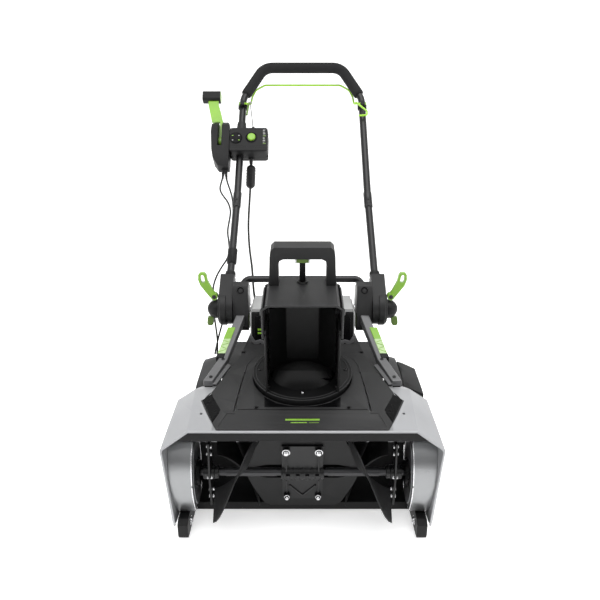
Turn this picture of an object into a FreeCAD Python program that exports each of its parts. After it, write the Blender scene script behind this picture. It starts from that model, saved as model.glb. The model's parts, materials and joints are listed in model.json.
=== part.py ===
"""Battery-powered single-stage snow thrower: parametric model, millimetres.

Machine frame while modelling: x = 0 on the symmetry plane, z = 0 on the ground, y = 0 at the
front lip of the intake, +y towards the handle.  Every sub-part is then placed lip_y further along
y, so the finished model's origin is under the middle of the whole machine.
"""
import FreeCAD, Part
import Sketcher
import math
import os

V = FreeCAD.Vector
doc = FreeCAD.newDocument("snow_thrower")

# ------------------------------------------------------------------ driving dimensions
sheet = doc.addObject("Spreadsheet::Sheet", "dims")
DIMS = [
    ("lip_y", -436.6), ("lip_z", 290.0), ("lip_half", 250.0), ("corner_half", 313.0),
    ("corner_z", 242.0), ("side_foot_half", 295.0), ("side_foot_z", 50.0), ("sheet_thk", 4.0),
    ("auger_y", 70.0), ("auger_z", 137.0), ("auger_rad", 114.0), ("liner_rad", 123.0),
    ("liner_thk", 4.0), ("shaft_rad", 9.0), ("shaft_half", 264.0),
    ("boss_face", 250.0), ("boss_thk", 4.0),
    ("wheel_y", 360.0), ("wheel_z", 100.0), ("wheel_rad", 100.0), ("wheel_in", 211.0),
    ("wheel_wide", 42.0), ("axle_rad", 6.0),
    ("ring_y", 190.0), ("ring_z", 341.0), ("ring_tilt", 7.0), ("ring_rad", 120.0),
    ("chute_half", 84.0), ("chute_front", 86.0), ("chute_back", 52.0), ("chute_wall", 4.0),
    ("hood_pivot_y", 10.0), ("hood_pivot_z", 165.0), ("hood_top", 228.0), ("trigger_travel", 6.0),
    ("bay_half", 130.0), ("bay_front", 346.0), ("bay_back", 452.0), ("bay_top", 432.0),
    ("pivot_y", 420.0), ("pivot_z", 417.0), ("handle_lean", -37.59), ("tube_rad", 10.5),
    ("tube_foot_half", 204.0), ("tube_low_half", 190.0), ("tube_top_half", 182.0), ("tube_corner_half", 120.0),
    ("tube_top", 788.0), ("tube_bend", 45.0), ("grip_rad", 16.0),
    ("box_low", 470.0), ("box_tall", 80.0), ("cable_rad", 3.2), ("thin_cable_rad", 2.5),
    ("pulley_rad", 48.0), ("motor_pulley_rad", 14.0), ("motor_y", 268.0), ("motor_z", 178.0),
    ("motor_rad", 45.0), ("bail_rad", 3.0),
]
for i, (name, value) in enumerate(DIMS):
    sheet.set("A%d" % (i + 1), name)
    sheet.set("B%d" % (i + 1), repr(value))
    sheet.setAlias("B%d" % (i + 1), name)
doc.recompute()


def D(name):
    return float(sheet.get(name))


NODES = []            # every sub-part, in order
LIP = D("lip_y")
TILT = D("ring_tilt")
LEAN = D("handle_lean")
RING = V(0, D("ring_y"), D("ring_z"))
PIV = V(0, D("pivot_y"), D("pivot_z"))
FRAME_BASE = FreeCAD.Placement(V(0, 0, 0), FreeCAD.Rotation())
FRAME_CHUTE = FreeCAD.Placement(RING, FreeCAD.Rotation(V(1, 0, 0), TILT))
FRAME_HANDLE = FreeCAD.Placement(PIV, FreeCAD.Rotation(V(1, 0, 0), LEAN))


def place(obj, frame=FRAME_BASE, base=(0, 0, 0), exprs=None):
    """Put a sub-part in its frame, then lip_y further along y."""
    p = frame.multiply(FreeCAD.Placement(V(*base), FreeCAD.Rotation()))
    obj.Placement = FreeCAD.Placement(p.Base + V(0, LIP, 0), p.Rotation)
    if frame is FRAME_BASE:
        obj.setExpression(".Placement.Base.y", (exprs or {}).get("y", "%r" % base[1]) + " + dims.lip_y")
        if exprs and "z" in exprs:
            obj.setExpression(".Placement.Base.z", exprs["z"])
    elif frame is FRAME_CHUTE and base == (0, 0, 0):
        obj.setExpression(".Placement.Base.y", "dims.ring_y + dims.lip_y")
        obj.setExpression(".Placement.Base.z", "dims.ring_z")
    elif frame is FRAME_HANDLE and base == (0, 0, 0):
        obj.setExpression(".Placement.Base.y", "dims.pivot_y + dims.lip_y")
        obj.setExpression(".Placement.Base.z", "dims.pivot_z")


def feature(label, shape, frame=FRAME_BASE):
    """A sub-part whose shape is set directly; the placement follows the shape."""
    o = doc.addObject("Part::Feature", label)
    o.Label = label
    o.Shape = shape
    place(o, frame)
    NODES.append(o)
    return o


def group(label, members):
    """Like pieces, left and right, kept as separate solids in one sub-part."""
    c = doc.addObject("Part::Compound", label)
    c.Label = label
    c.Links = members
    doc.recompute()
    NODES.append(c)
    return c


def pair(label, shape, frame=FRAME_BASE):
    """A right-hand piece and its mirror image as two solids in one sub-part."""
    return feature(label, Part.makeCompound([mirror(shape), shape]), frame)


def new_body(label, frame=FRAME_BASE, base=(0, 0, 0), exprs=None, keep=True):
    b = doc.addObject("PartDesign::Body", label)
    b.Label = label
    place(b, frame, base, exprs)
    if keep:
        NODES.append(b)
    return b


def sketch(b, role, loops, off=0.0, tag="outline"):
    pl = [f for f in b.Origin.OriginFeatures if f.Role == role][0]
    sk = b.newObject("Sketcher::SketchObject", b.Name + "_" + tag)
    sk.AttachmentSupport = [(pl, "")]
    sk.MapMode = "FlatFace"
    sk.AttachmentOffset = FreeCAD.Placement(V(0, 0, off), FreeCAD.Rotation())
    for lp in loops:
        if lp[0] == "c":
            g = sk.addGeometry(Part.Circle(V(lp[1], lp[2], 0), V(0, 0, 1), lp[3]), False)
            sk.addConstraint(Sketcher.Constraint("Radius", g, lp[3]))
            if len(lp) > 4:
                sk.setExpression("Constraints[%d]" % (sk.ConstraintCount - 1), lp[4])
        else:
            n = len(lp)
            first = None
            for k in range(n):
                a, c = lp[k], lp[(k + 1) % n]
                g = sk.addGeometry(Part.LineSegment(V(a[0], a[1], 0), V(c[0], c[1], 0)), False)
                if first is None:
                    first = g
                elif k:
                    sk.addConstraint(Sketcher.Constraint("Coincident", g - 1, 2, g, 1))
            sk.addConstraint(Sketcher.Constraint("Coincident", first + n - 1, 2, first, 1))
    return sk


def prism(label, role, loops, lo, hi, frame=FRAME_BASE, fillet=None, chamfer=None, expr=None,
          cuts=(), keep=True, base=(0, 0, 0), exprs=None):
    """A padded sketch.  YZ pads run along +x, XZ pads along y, XY pads along z, from lo to hi."""
    b = new_body(label, frame, base, exprs, keep)
    off = -hi if role == "XZ_Plane" else lo
    sk = sketch(b, role, loops, off)
    pad = b.newObject("PartDesign::Pad", b.Name + "_pad")
    pad.Profile = sk
    pad.Length = hi - lo
    if expr:
        pad.setExpression("Length", expr)
    doc.recompute()
    for j, (crole, cloops, clo, chi) in enumerate(cuts):
        before = b.Shape.Volume
        coff = -chi if crole == "XZ_Plane" else clo
        csk = sketch(b, crole, cloops, coff, "cut%d" % j)
        pk = b.newObject("PartDesign::Pocket", b.Name + "_pocket%d" % j)
        pk.Profile = csk
        pk.Length = chi - clo
        pk.Reversed = True
        doc.recompute()
        if not b.Shape.Volume < before - 1e-3:
            raise RuntimeError("pocket %d of %s cuts nothing" % (j, label))
    return b


def edge_dress(b, kind, size, test):
    """Fillet or chamfer the edges of a body's last feature that satisfy the test."""
    tip = b.Tip
    names = []
    for k, e in enumerate(tip.Shape.Edges):
        try:
            if test(e):
                names.append("Edge%d" % (k + 1))
        except Exception:
            pass
    if not names:
        raise RuntimeError("no edge for " + b.Label)
    f = b.newObject("PartDesign::" + kind, b.Name + "_" + kind.lower())
    f.Base = (tip, names)
    if kind == "Fillet":
        f.Radius = size
    else:
        f.Size = size
    doc.recompute()
    if "Invalid" in f.State or f.Shape.isNull() or not f.Shape.isValid():
        b.removeObject(f)
        doc.removeObject(f.Name)
        b.Tip = tip
        doc.recompute()
        print("edge treatment left out on", b.Label)
    return b


def along(axis):
    """Edges that are straight and run along one axis of the sub-part's own frame."""
    def t(e):
        a, c = e.Vertexes[0].Point, e.Vertexes[-1].Point
        d = c - a
        if d.Length < 1e-6 or e.Curve.TypeId != "Part::GeomLine":
            return False
        d.normalize()
        return abs(getattr(d, axis)) > 0.9999
    return t


def turned(label, pts, axis="x", frame=FRAME_BASE, base=(0, 0, 0), exprs=None, keep=True):
    """A body of revolution: pts are (along, radius) pairs about x, or (radius, z) about z."""
    b = new_body(label, frame, base, exprs, keep)
    sk = sketch(b, "XY_Plane" if axis == "x" else "XZ_Plane", [pts])
    r = b.newObject("PartDesign::Revolution", b.Name + "_turn")
    r.Profile = sk
    r.ReferenceAxis = (sk, ["H_Axis"] if axis == "x" else ["V_Axis"])
    r.Angle = 360.0
    doc.recompute()
    return b


def tube_wire(points, radii=None, closed=False):
    """Straight runs joined by tangent arcs.  With no radii each arc is as large as its runs allow."""
    pts = [V(*p) for p in points]
    edges, cur, used = [], pts[0], []
    for k in range(1, len(pts) - 1):
        a, b, c = pts[k - 1], pts[k], pts[k + 1]
        u, w = a.sub(b), c.sub(b)
        lu, lw = u.Length, w.Length
        u.normalize(); w.normalize()
        turn = math.pi - u.getAngle(w)
        if radii and radii[k - 1]:
            r = radii[k - 1]
            cutlen = r * math.tan(turn / 2)
        else:
            cutlen = 0.45 * min(lu, lw)
            r = cutlen / math.tan(turn / 2)
        used.append((r, math.degrees(turn)))
        p1, p2 = b + u * cutlen, b + w * cutlen
        bis = u + w
        bis.normalize()
        cen = b + bis * (r / math.cos(turn / 2))
        mid = cen - bis * r
        if cur.distanceToPoint(p1) > 1e-6:
            edges.append(Part.LineSegment(cur, p1).toShape())
        edges.append(Part.Arc(p1, mid, p2).toShape())
        cur = p2
    edges.append(Part.LineSegment(cur, pts[-1]).toShape())
    return Part.Wire(edges), used


def pipe(points, rad, radii=None, name=None):
    wire, used = tube_wire(points, radii)
    e0 = wire.Edges[0]
    start = V(*points[0])
    d = V(*points[1]).sub(start)
    circ = Part.Wire([Part.Circle(start, d, rad).toShape()])
    s = wire.makePipeShell([circ], True, False)
    if name:
        want = math.pi * rad * rad * wire.Length
        print("route %-18s length %.0f volume ratio %.4f radii %s" % (
            name, wire.Length, s.Volume / want, " ".join("%.0f@%.0f" % u for u in used)))
    return s


def box(x0, x1, y0, y1, z0, z1):
    return Part.makeBox(x1 - x0, y1 - y0, z1 - z0, V(x0, y0, z0))


def poly_face(pts):
    return Part.Face(Part.makePolygon([V(*p) for p in pts] + [V(*pts[0])]))


def extrude_yz(pts, x0, x1):
    return poly_face([(x0, p[0], p[1]) for p in pts]).extrude(V(x1 - x0, 0, 0))


def extrude_xz(pts, y0, y1):
    return poly_face([(p[0], y0, p[1]) for p in pts]).extrude(V(0, y1 - y0, 0))


def extrude_xy(pts, z0, z1):
    return poly_face([(p[0], p[1], z0) for p in pts]).extrude(V(0, 0, z1 - z0))


def loft(sections):
    wires = [Part.makePolygon([V(*p) for p in s] + [V(*s[0])]) for s in sections]
    return Part.makeLoft(wires, True, True)


def cyl(p, d, r, length):
    return Part.makeCylinder(r, length, V(*p), V(*d))


def mirror(shape):
    return shape.mirror(V(0, 0, 0), V(1, 0, 0))


def rounded(shape, r, axis):
    es = [e for e in shape.Edges if along(axis)(e)]
    try:
        s = shape.makeFillet(r, es)
        return s if s.isValid() and not s.isNull() else shape
    except Exception:
        return shape


# ------------------------------------------------------------------ intake
T = D("sheet_thk")
LH, CH, FH = D("lip_half"), D("corner_half"), D("side_foot_half")
LZ, CZ, FZ = D("lip_z"), D("corner_z"), D("side_foot_z")
AY, AZ = D("auger_y"), D("auger_z")
HOUSE = [  # y, fold half-width, fold z, corner half-width, corner z, foot half-width, foot z
    (0.0, LH, LZ, CH, CZ, FH, 0.0),
    (70.0, LH + 2, LZ + 10.7, CH - 6, CZ + 19, FH - 1, 0.0),
    (150.0, LH + 5, LZ + 23.0, CH - 14, CZ + 41, FH - 2, 0.0),
    (206.0, LH - 2, LZ + 0.0, CH - 24, CZ + 22, FH - 4, 0.0),
]


def house_section(y, row, inset, low):
    _, fh, fz, ch, cz, bh, bz = row
    k = inset
    return [(-(bh - k), y, bz - low), (-(ch - k * 1.03), y, cz - k * 0.45), (-(fh - k * 0.4), y, fz - k),
            (fh - k * 0.4, y, fz - k), (ch - k * 1.03, y, cz - k * 0.45), (bh - k, y, bz - low)]


def extrapolate(r0, r1, y):
    f = (y - r0[0]) / (r1[0] - r0[0])
    return tuple(a + (b - a) * f for a, b in zip(r0, r1))


outer = loft([house_section(r[0], r, 0.0, 0.0) for r in HOUSE])
before = extrapolate(HOUSE[0], HOUSE[1], -2.0)
after = extrapolate(HOUSE[2], HOUSE[3], 208.0)
inner = loft([house_section(-2.0, before, T, 5.0)] + [house_section(r[0], r, T, 5.0) for r in HOUSE[1:3]]
             + [house_section(208.0, after, T, 5.0)])
inner_fit = loft([house_section(-2.0, before, T + 0.25, 5.0)] + [house_section(r[0], r, T + 0.25, 5.0) for r in HOUSE[1:3]]
                 + [house_section(208.0, after, T + 0.25, 5.0)])
skin = outer.cut(inner)
# side view of a side plate: straight front edge, rounded rear lower corner round the auger
side_view = [(0, FZ), (14, 36), (120, 36), (166, 52), (196, 90), (206, 140), (206, 400), (0, 400)]
plate_r = skin.common(extrude_yz(side_view, 197.0, 330.0))
for s in plate_r.Solids:
    pass
screw_hole = cyl((228, 60, 200), (0, 0, 1), 3.2, 200)
plate_r = plate_r.cut(screw_hole)
plate_r = max(plate_r.Solids, key=lambda q: q.Volume)
feature("side_plate_right", plate_r)
feature("side_plate_left", mirror(plate_r))

LR = D("liner_rad")
LT = D("liner_thk")


def arc_wall(a0, a1, r0, r1, x0, x1, n=None):
    """A curved wall about the auger axis between two angles (degrees from +y towards +z)."""
    def pt(r, a):
        return V(x0, AY + r * math.cos(math.radians(a)), AZ + r * math.sin(math.radians(a)))
    am = (a0 + a1) / 2
    w = Part.Wire([Part.Arc(pt(r1, a0), pt(r1, am), pt(r1, a1)).toShape(),
                   Part.LineSegment(pt(r1, a1), pt(r0, a1)).toShape(),
                   Part.Arc(pt(r0, a1), pt(r0, am), pt(r0, a0)).toShape(),
                   Part.LineSegment(pt(r0, a0), pt(r1, a0)).toShape()])
    return Part.Face(w).extrude(V(x1 - x0, 0, 0))


DX, DZ = math.sin(math.radians(TILT)), math.cos(math.radians(TILT))
chute_dir = (0, -DX, DZ)
passage_low = (0, RING.y + 160 * DX, RING.z - 160 * DZ)
throat = cyl(passage_low, chute_dir, 88.0, 220)
top_sheet = skin.common(box(-196.8, 196.8, -5, 206.5, 255, 400))
liner = arc_wall(0, 106, LR, LR + LT, -330, 330)
liner_front = extrude_yz([(8.5, 262.5), (8.5, 266.5), (37, 259.8 + 0.0), (36, 255.8)], -330, 330)
back = liner.fuse(liner_front).common(inner_fit).cut(box(-330, 330, -5, 400, -5, AZ))
back = back.cut(cyl((-330, AY, AZ), (1, 0, 0), LR, 660))
ring_seat = cyl((0, RING.y + 40 * DX, RING.z - 40 * DZ), chute_dir, 117.0, 60)
housing = top_sheet.cut(ring_seat).fuse(back).cut(throat)
rear_web = box(-196.0, 196.0, 199.0, 203.0, 160.0, 284.0).cut(throat)
housing = housing.fuse(rear_web.cut(ring_seat).cut(cyl((-330, AY, AZ), (1, 0, 0), LR, 660))).removeSplitter()
belt_slot = box(259.0, 288.0, 60.0, 260.0, 98.0, 222.0)
housing = housing.cut(belt_slot)
feature("auger_housing", housing)

shoe_space = box(264.0, 330, -5, 300, -10, 51.0).fuse(box(-330, -264.0, -5, 300, -10, 51.0))
lower = arc_wall(-72, 0, LR, LR + LT, -330, 330).common(inner_fit).cut(belt_slot).cut(shoe_space)
feature("lower_liner", max(lower.Solids, key=lambda q: q.Volume))
sy, sz = AY + LR * math.cos(math.radians(-72)), AZ + LR * math.sin(math.radians(-72))
blade = extrude_yz([(sy + 0.6, sz - 0.4), (sy + 7.5, sz - 2.5), (sy + 3.0, 3.0), (sy - 6.0, 3.0)], -262.5, 262.5)
feature("scraper_blade", blade.common(inner_fit).cut(lower))

trim = poly_face([(-262, 2, 262), (262, 2, 262), (330, 2, 286.0), (-330, 2, 286.0)])
trim = poly_face([(-330, 2, 264), (330, 2, 264), (330, 2, 292), (-330, 2, 292)]).extrude(V(0, 6.3, 0)).common(inner_fit)
feature("front_lip", trim)

# side bosses: oval drums that close the ends of the auger chamber and hold the bearings
BF, BT = D("boss_face"), D("boss_thk")


def oval(ry, rz, x0, length):
    c = Part.Ellipse(V(0, 0, 0), max(ry, rz), min(ry, rz)).toShape()
    f = Part.Face(Part.Wire([c]))
    s = f.extrude(V(0, 0, length))
    # ellipse major axis is x of its own plane: turn it to z, and the extrusion to x
    s.rotate(V(0, 0, 0), V(0, 1, 0), 90)     # z extrusion -> x, x major -> -z
    s.translate(V(x0, AY + 4, AZ))
    return s


drum = oval(64, 106, BF, 60).cut(oval(60, 102, BF + BT, 60))
drum = drum.common(inner_fit).common(box(0, 400, 6.5, 400, 51.0, 250))
drum_r = drum.cut(cyl((BF - 5, AY, AZ), (1, 0, 0), 18.05, 20))
drum_r = drum_r.cut(cyl((BF - 5, 40, 92), (1, 0, 0), 2.6, 20))
drum_l = mirror(drum_r)
drum_r = drum_r.cut(belt_slot)
# only the largest solid is the drum: slivers at the mouth are left out


def biggest(s):
    return max(s.Solids, key=lambda q: q.Volume)


feature("side_bosses", Part.makeCompound([biggest(drum_l), biggest(drum_r)]))

# skid shoes and their bolts
shoe_view = [(0, 12), (2.5, 3.5), (8, 0), (104, 0), (120, 6), (132, 20), (132, 30), (118, 50), (12, 50), (0, 40)]
shoes = []
for side, sg in (("right", 1), ("left", -1)):
    x0, x1 = (264.6, 288.6) if sg > 0 else (-288.6, -264.6)
    cuts = [("YZ_Plane", [("c", 34.0, 27.0, 4.1), ("c", 88.0, 27.0, 4.1)], x0 - 1, x1 + 1)]
    b = prism("skid_" + side, "YZ_Plane", [shoe_view], x0, x1, cuts=cuts, keep=False)
    edge_dress(b, "Chamfer", 2.5, lambda e: along("y")(e) and e.Vertexes[0].Point.z < 1)
    shoes.append(b)
group("skid_shoes", shoes)
bolts = []
for sg in (1, -1):
    for y in (34.0, 88.0):
        s = cyl((258 if sg > 0 else -258, y, 27), (sg, 0, 0), 4.0, 27.0)
        s = s.fuse(cyl((259.5 if sg > 0 else -259.5, y, 27), (sg, 0, 0), 8.5, 5.0))
        bolts.append(s)
feature("skid_bolts", Part.makeCompound(bolts))

# ------------------------------------------------------------------ auger
SR = D("shaft_rad")
AX = {"y": "dims.auger_y", "z": "dims.auger_z"}
SH = D("shaft_half")
turned("auger_shaft", [(286.0, 0), (286.0, 6.0), (282.0, 6.0), (282.0, 48.5), (280.5, 48.5), (279.0, 43.5), (268.0, 43.5),
                       (266.5, 48.5), (265.0, 48.5), (265.0, SR), (-SH, SR), (-SH, 0)], base=(0, AY, AZ), exprs=AX)
bearings = []
for side, sg in (("right", 1), ("left", -1)):
    pts = [(sg * (BF - 4.0), SR + 0.05), (sg * (BF - 4.0), 18.0), (sg * (BF + 8.0), 18.0), (sg * (BF + 8.0), SR + 0.05)]
    bearings.append(turned("bearing_" + side, pts, base=(0, AY, AZ), exprs=AX, keep=False))
group("auger_bearings", bearings)

RA = D("auger_rad")
# centre bracket: a split hub with two flat lugs that clamp the centre paddles, at rest turned 10 degrees
ATURN = 10.0


def turn_auger(shape):
    shape = shape.copy()
    shape.rotate(V(0, AY, AZ), V(1, 0, 0), ATURN)
    return shape


hub = cyl((-50, AY, AZ), (1, 0, 0), 16.0, 100).cut(cyl((-60, AY, AZ), (1, 0, 0), SR, 120))
lug = box(-48, 48, AY - 5.0, AY + 1.0, AZ - 84, AZ + 84)
hub = hub.fuse(lug).cut(cyl((-60, AY, AZ), (1, 0, 0), SR, 120))
bolt_at = [(x, z) for x in (-37.5, 37.5) for z in (AZ - 72.0, AZ + 72.0)]
for x, z in bolt_at:
    hub = hub.cut(cyl((x, AY - 30, z), (0, 1, 0), 4.1, 60))
feature("centre_bracket", Part.makeCompound([turn_auger(hub.removeSplitter())]))


def centre_paddle(sign):
    half = [(48, 21.0), (84, 21.0), (106, 15.5), (124, 11.0), (132, 13.0), (122, 43.0), (98, 96.0), (91, 107.0), (76, RA)]
    p = [(x, AZ + sign * r) for x, r in half] + [(-x, AZ + sign * r) for x, r in half[::-1]]
    s = extrude_xz(p, AY + 1.1, AY + 10.0).cut(cyl((-300, AY, AZ), (1, 0, 0), SR + 0.4, 600)).cut(cyl((-51, AY, AZ), (1, 0, 0), 16.1, 102))
    for x, z in bolt_at:
        s = s.cut(cyl((x, AY - 40, z), (0, 1, 0), 4.1, 80))
    return turn_auger(biggest(s))


feature("centre_paddles", Part.makeCompound([centre_paddle(1), centre_paddle(-1)]))
nuts = []
for x, z in bolt_at:
    s = cyl((x, AY - 12.0, z), (0, 1, 0), 4.0, 24.0).fuse(cyl((x, AY - 12.0, z), (0, 1, 0), 8.0, 6.9))
    nuts.append(turn_auger(s))
feature("auger_bolts", Part.makeCompound(nuts))


def side_arm(sg):
    """A flat arm plate across the shaft that holds the two helical paddles at one end."""
    x0, x1 = (214.0, 219.0) if sg > 0 else (-219.0, -214.0)
    pts = [(AY - 14, AZ - 84), (AY + 14, AZ - 84), (AY + 22, AZ), (AY + 14, AZ + 84), (AY - 14, AZ + 84), (AY - 22, AZ)]
    s = extrude_yz(pts, x0, x1)
    s = s.fuse(cyl((206 if sg > 0 else -206, AY, AZ), (sg, 0, 0), 17.0, 26))
    return s.cut(cyl((-300, AY, AZ), (1, 0, 0), SR, 600)).removeSplitter()


feature("auger_arms", Part.makeCompound([side_arm(-1), side_arm(1)]))


def helical(sg):
    """Two rubber flights on one side: each a ruled strip twisting 130 degrees along the shaft, away from a centre paddle's edge."""
    out = []
    for half in (100, 280):
        secs = []
        for k in range(10):
            f = k / 9.0
            x = 104.0 + f * 101.0
            a = math.radians(half + 130 * f)
            t = 3.5
            ca, sa = math.cos(a), math.sin(a)
            # the inner edge clears the centre paddle's sloping end
            r0, r1 = max(38.0, 91.0 - (x - 104.0) * 2.2), RA
            # strip thickness runs round the shaft
            def q(r, d):
                return (sg * x, AY + r * ca - d * sa, AZ + r * sa + d * ca)
            secs.append([q(r0, -t), q(r1, -t), q(r1, t), q(r0, t)])
        out.append(loft(secs))
    return out


feature("helical_paddles", Part.makeCompound(helical(-1) + helical(1)))

# ------------------------------------------------------------------ drive
MY, MZ, MR = D("motor_y"), D("motor_z"), D("motor_rad")
MX = {"y": "dims.motor_y", "z": "dims.motor_z"}
turned("drive_motor", [(194.0, 10.5), (194.0, 30.0), (186.0, MR), (92.0, MR), (86.0, 38.0), (86.0, 6.0),
                       (92.0, 6.0), (92.0, 10.5)], base=(0, MY, MZ), exprs=MX)
turned("motor_shaft", [(286.0, 0), (286.0, 5.0), (282.0, 5.0), (282.0, 15.5), (280.5, 15.5), (279.0, 10.5), (268.0, 10.5), (266.5, 15.5),
                       (265.0, 15.5), (265.0, 8.0), (195.0, 8.0), (195.0, 9.9), (98.0, 9.9),
                       (98.0, 5.9), (84.0, 5.9), (84.0, 0)], base=(0, MY, MZ), exprs=MX)

def belt_loop(r1, r2, x0, x1):
    """Closed belt outline round the two pulleys."""
    dy, dz = MY - AY, MZ - AZ
    dist = math.hypot(dy, dz)
    a = math.atan2(dz, dy)
    ph = math.acos((r1 - r2) / dist)
    def pt(cy, cz, r, t):
        return V(x0, cy + r * math.cos(t), cz + r * math.sin(t))
    p1, p2 = pt(AY, AZ, r1, a + ph), pt(MY, MZ, r2, a + ph)
    p3, p4 = pt(MY, MZ, r2, a - ph), pt(AY, AZ, r1, a - ph)
    w = Part.Wire([Part.LineSegment(p1, p2).toShape(),
                   Part.Arc(p2, pt(MY, MZ, r2, a), p3).toShape(),
                   Part.LineSegment(p3, p4).toShape(),
                   Part.Arc(p4, pt(AY, AZ, r1, a + math.pi), p1).toShape()])
    return Part.Face(w).extrude(V(x1 - x0, 0, 0))


feature("drive_belt", belt_loop(47.6, 14.6, 269.5, 277.5).cut(belt_loop(43.9, 10.9, 267, 280)))

# ------------------------------------------------------------------ chassis
tub = box(-204, 204, 208, 470, 62, 294).cut(box(-200, 200, 212, 466, 66, 290)).cut(box(-134.5, 134.5, 341.5, 456.5, 250, 300))
tub = tub.cut(box(-120, 120, 200, 330, 280, 300))
tub = tub.cut(cyl((190, MY, MZ), (1, 0, 0), 14.0, 110)).cut(cyl((-300, 360, 100), (1, 0, 0), 6.4, 600))
tub = tub.cut(throat)
cradle = box(120, 150, 224, 312, 60, 190).common(box(-200, 200, 212, 466, 66, 300)).cut(cyl((-100, MY, MZ), (1, 0, 0), MR + 0.1, 400))
tub = tub.fuse(cradle).removeSplitter()
feature("chassis_tub", tub)
feature("motor_controller", box(-150, -20, 226, 322, 120, 152))


def fender_rows(grow):
    """Sections of the rear guard along y: three stepped slopes from the body out to the edge."""
    rows = [(208.0, 290.0, 283.0, 267.0), (232.0, 297.0, 287.0, 270.0), (337.0, 306.0, 291.0, 274.0), (362.0, 302.0, 288.0, 270.0),
            (420.0, 272.0, 258.0, 240.0), (455.0, 246.0, 233.0, 220.0)]
    out = []
    for y, za, zb, zc in rows:
        out.append([(205.0 - grow, y, 206.0 - grow), (205.0 - grow, y, za - grow), (222.0, y, za - grow), (268.0, y, zb - grow), (303.0 - grow, y, zc - grow), (303.0 - grow, y, 206.0 - grow)])
    return loft(out)


shell = fender_rows(0.0)
inner_shell = fender_rows(4.5).common(box(150, 400, 212.5, 450.5, 150, 400))
inner_shell = inner_shell.fuse(box(150, 350, 212.5, 450.5, 190, 215))
fender_r = shell.cut(inner_shell).common(box(205.0, 252.0, 200, 500, 200, 400))
skirt = shell.common(box(262.5, 267.0, 208, 362, 206, 400))
fender_l = mirror(shell.cut(inner_shell).common(box(205.0, 267.0, 200, 500, 200, 400)).fuse(skirt).removeSplitter())
feature("rear_fenders", Part.makeCompound([biggest(fender_l), biggest(fender_r)]))
# belt cover outside the right-hand guard: closed outside, open towards the pulleys
outer_cover = shell.common(box(253.0, 303.0, 208, 337, 200, 400)).fuse(box(253.0, 303.0, 208, 337, 118, 215)).removeSplitter()
inner_cover = fender_rows(4.0).common(box(200.0, 299.0, 200, 333, 150, 400)).fuse(box(200, 299.0, 200, 333, 122, 215))
feature("belt_cover", biggest(outer_cover.cut(inner_cover)))

WI, WW, WR = D("wheel_in"), D("wheel_wide"), D("wheel_rad")
WX = {"y": "dims.wheel_y", "z": "dims.wheel_z"}
for side, sg in (("right", 1), ("left", -1)):
    w0, w1 = sg * WI, sg * (WI + WW)
    hub_pts = [(w0, 6.15), (w0, 16), (w0 + sg * 12, 20), (w0 + sg * 12, 62), (w0 + sg * 4, 70), (w0 + sg * 4, 78), (w1 - sg * 4, 78),
               (w1 - sg * 4, 70), (w1 - sg * 12, 62), (w1 - sg * 12, 24), (w1, 18), (w1, 6.15)]
    hub_b = turned("hub_" + side, hub_pts, base=(0, 360, 100), exprs=WX, keep=False)
    tyre_pts = [(w0 + sg * 4, 78), (w0, 84), (w0 + sg * 2, 94), (w0 + sg * 9, WR), (w1 - sg * 9, WR), (w1 - sg * 2, 94), (w1, 84), (w1 - sg * 4, 78)]
    tyre_b = turned("rim_tyre_" + side, tyre_pts, base=(0, 360, 100), exprs=WX, keep=False)
    group("wheel_" + side, [hub_b, tyre_b])
turned("wheel_axle", [(-260, 0), (-260, 9), (-255.5, 9), (-255.5, 6.0), (255.5, 6.0), (255.5, 9), (260, 9), (260, 0)],
       base=(0, 360, 100), exprs=WX)

# ------------------------------------------------------------------ top shroud with headlights
SHR = [  # y, inner half-width, top z, outer half-width, outer z
    (2.0, 184.0, 294.0, 187.0, 291.0),
    (21.0, 176.0, 300.0, 196.6, 293.9),
    (54.0, 180.0, 309.5, 213.0, 299.0),
    (105.0, 205.0, 316.7, 235.0, 306.8),
    (121.0, 212.6, 318.9, 214.5, 310.0),
    (200.0, 184.0, 330.0, 187.0, 312.0),
    (278.0, 157.0, 340.9, 161.0, 312.0),
    (343.0, 150.0, 348.0, 155.0, 312.0),
    (468.0, 146.0, 330.0, 152.0, 300.0),
]


def shroud_bottom(y):
    if y <= 150:
        return LZ + 0.3 + 0.1535 * y
    if y <= 206:
        return LZ + 0.3 + 23.03 - (y - 150) * 0.32
    return 294.4 if y > 210 else 296.0


def shroud_section(row):
    y, xi, zt, xo, zo = row
    zb = shroud_bottom(y)
    zo = max(zo, zb + 0.3)
    return [(-xo, y, zb), (-xo, y, zo), (-xi, y, zt), (xi, y, zt), (xo, y, zo), (xo, y, zb)]


def shroud_at(y):
    for r0, r1 in zip(SHR, SHR[1:]):
        if r0[0] <= y <= r1[0]:
            return extrapolate(r0, r1, y)
    return SHR[-1]


rows = sorted(set([r[0] for r in SHR] + [150.0, 206.0, 210.5]))
shroud = loft([shroud_section(shroud_at(y)) for y in rows])
hol = loft([[(-(r[1] - 6), r[0], r[2] - 4.0), (r[1] - 6, r[0], r[2] - 4.0), (r[1] - 6, r[0], 250.0), (-(r[1] - 6), r[0], 250.0)]
            for r in [shroud_at(y) for y in (8.0, 54.0, 105.0, 121.0, 200.0, 278.0, 343.0, 464.0)]])
shroud = shroud.cut(hol)
ring_hole = cyl((0, RING.y + 60 * DX, RING.z - 60 * DZ), chute_dir, 121.0, 120)
shroud = shroud.cut(ring_hole)
BH, BFR, BB, BTOP = D("bay_half"), D("bay_front"), D("bay_back"), D("bay_top")
shroud = shroud.cut(box(-BH - 4.5, BH + 4.5, BFR - 4.5, 500, 200, 400))
lens_q = [(-181.5, 57.0, 309.0), (-211.0, 117.0, 317.6), (-231.5, 105.0, 308.3), (-198.5, 27.0, 295.6)]


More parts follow.
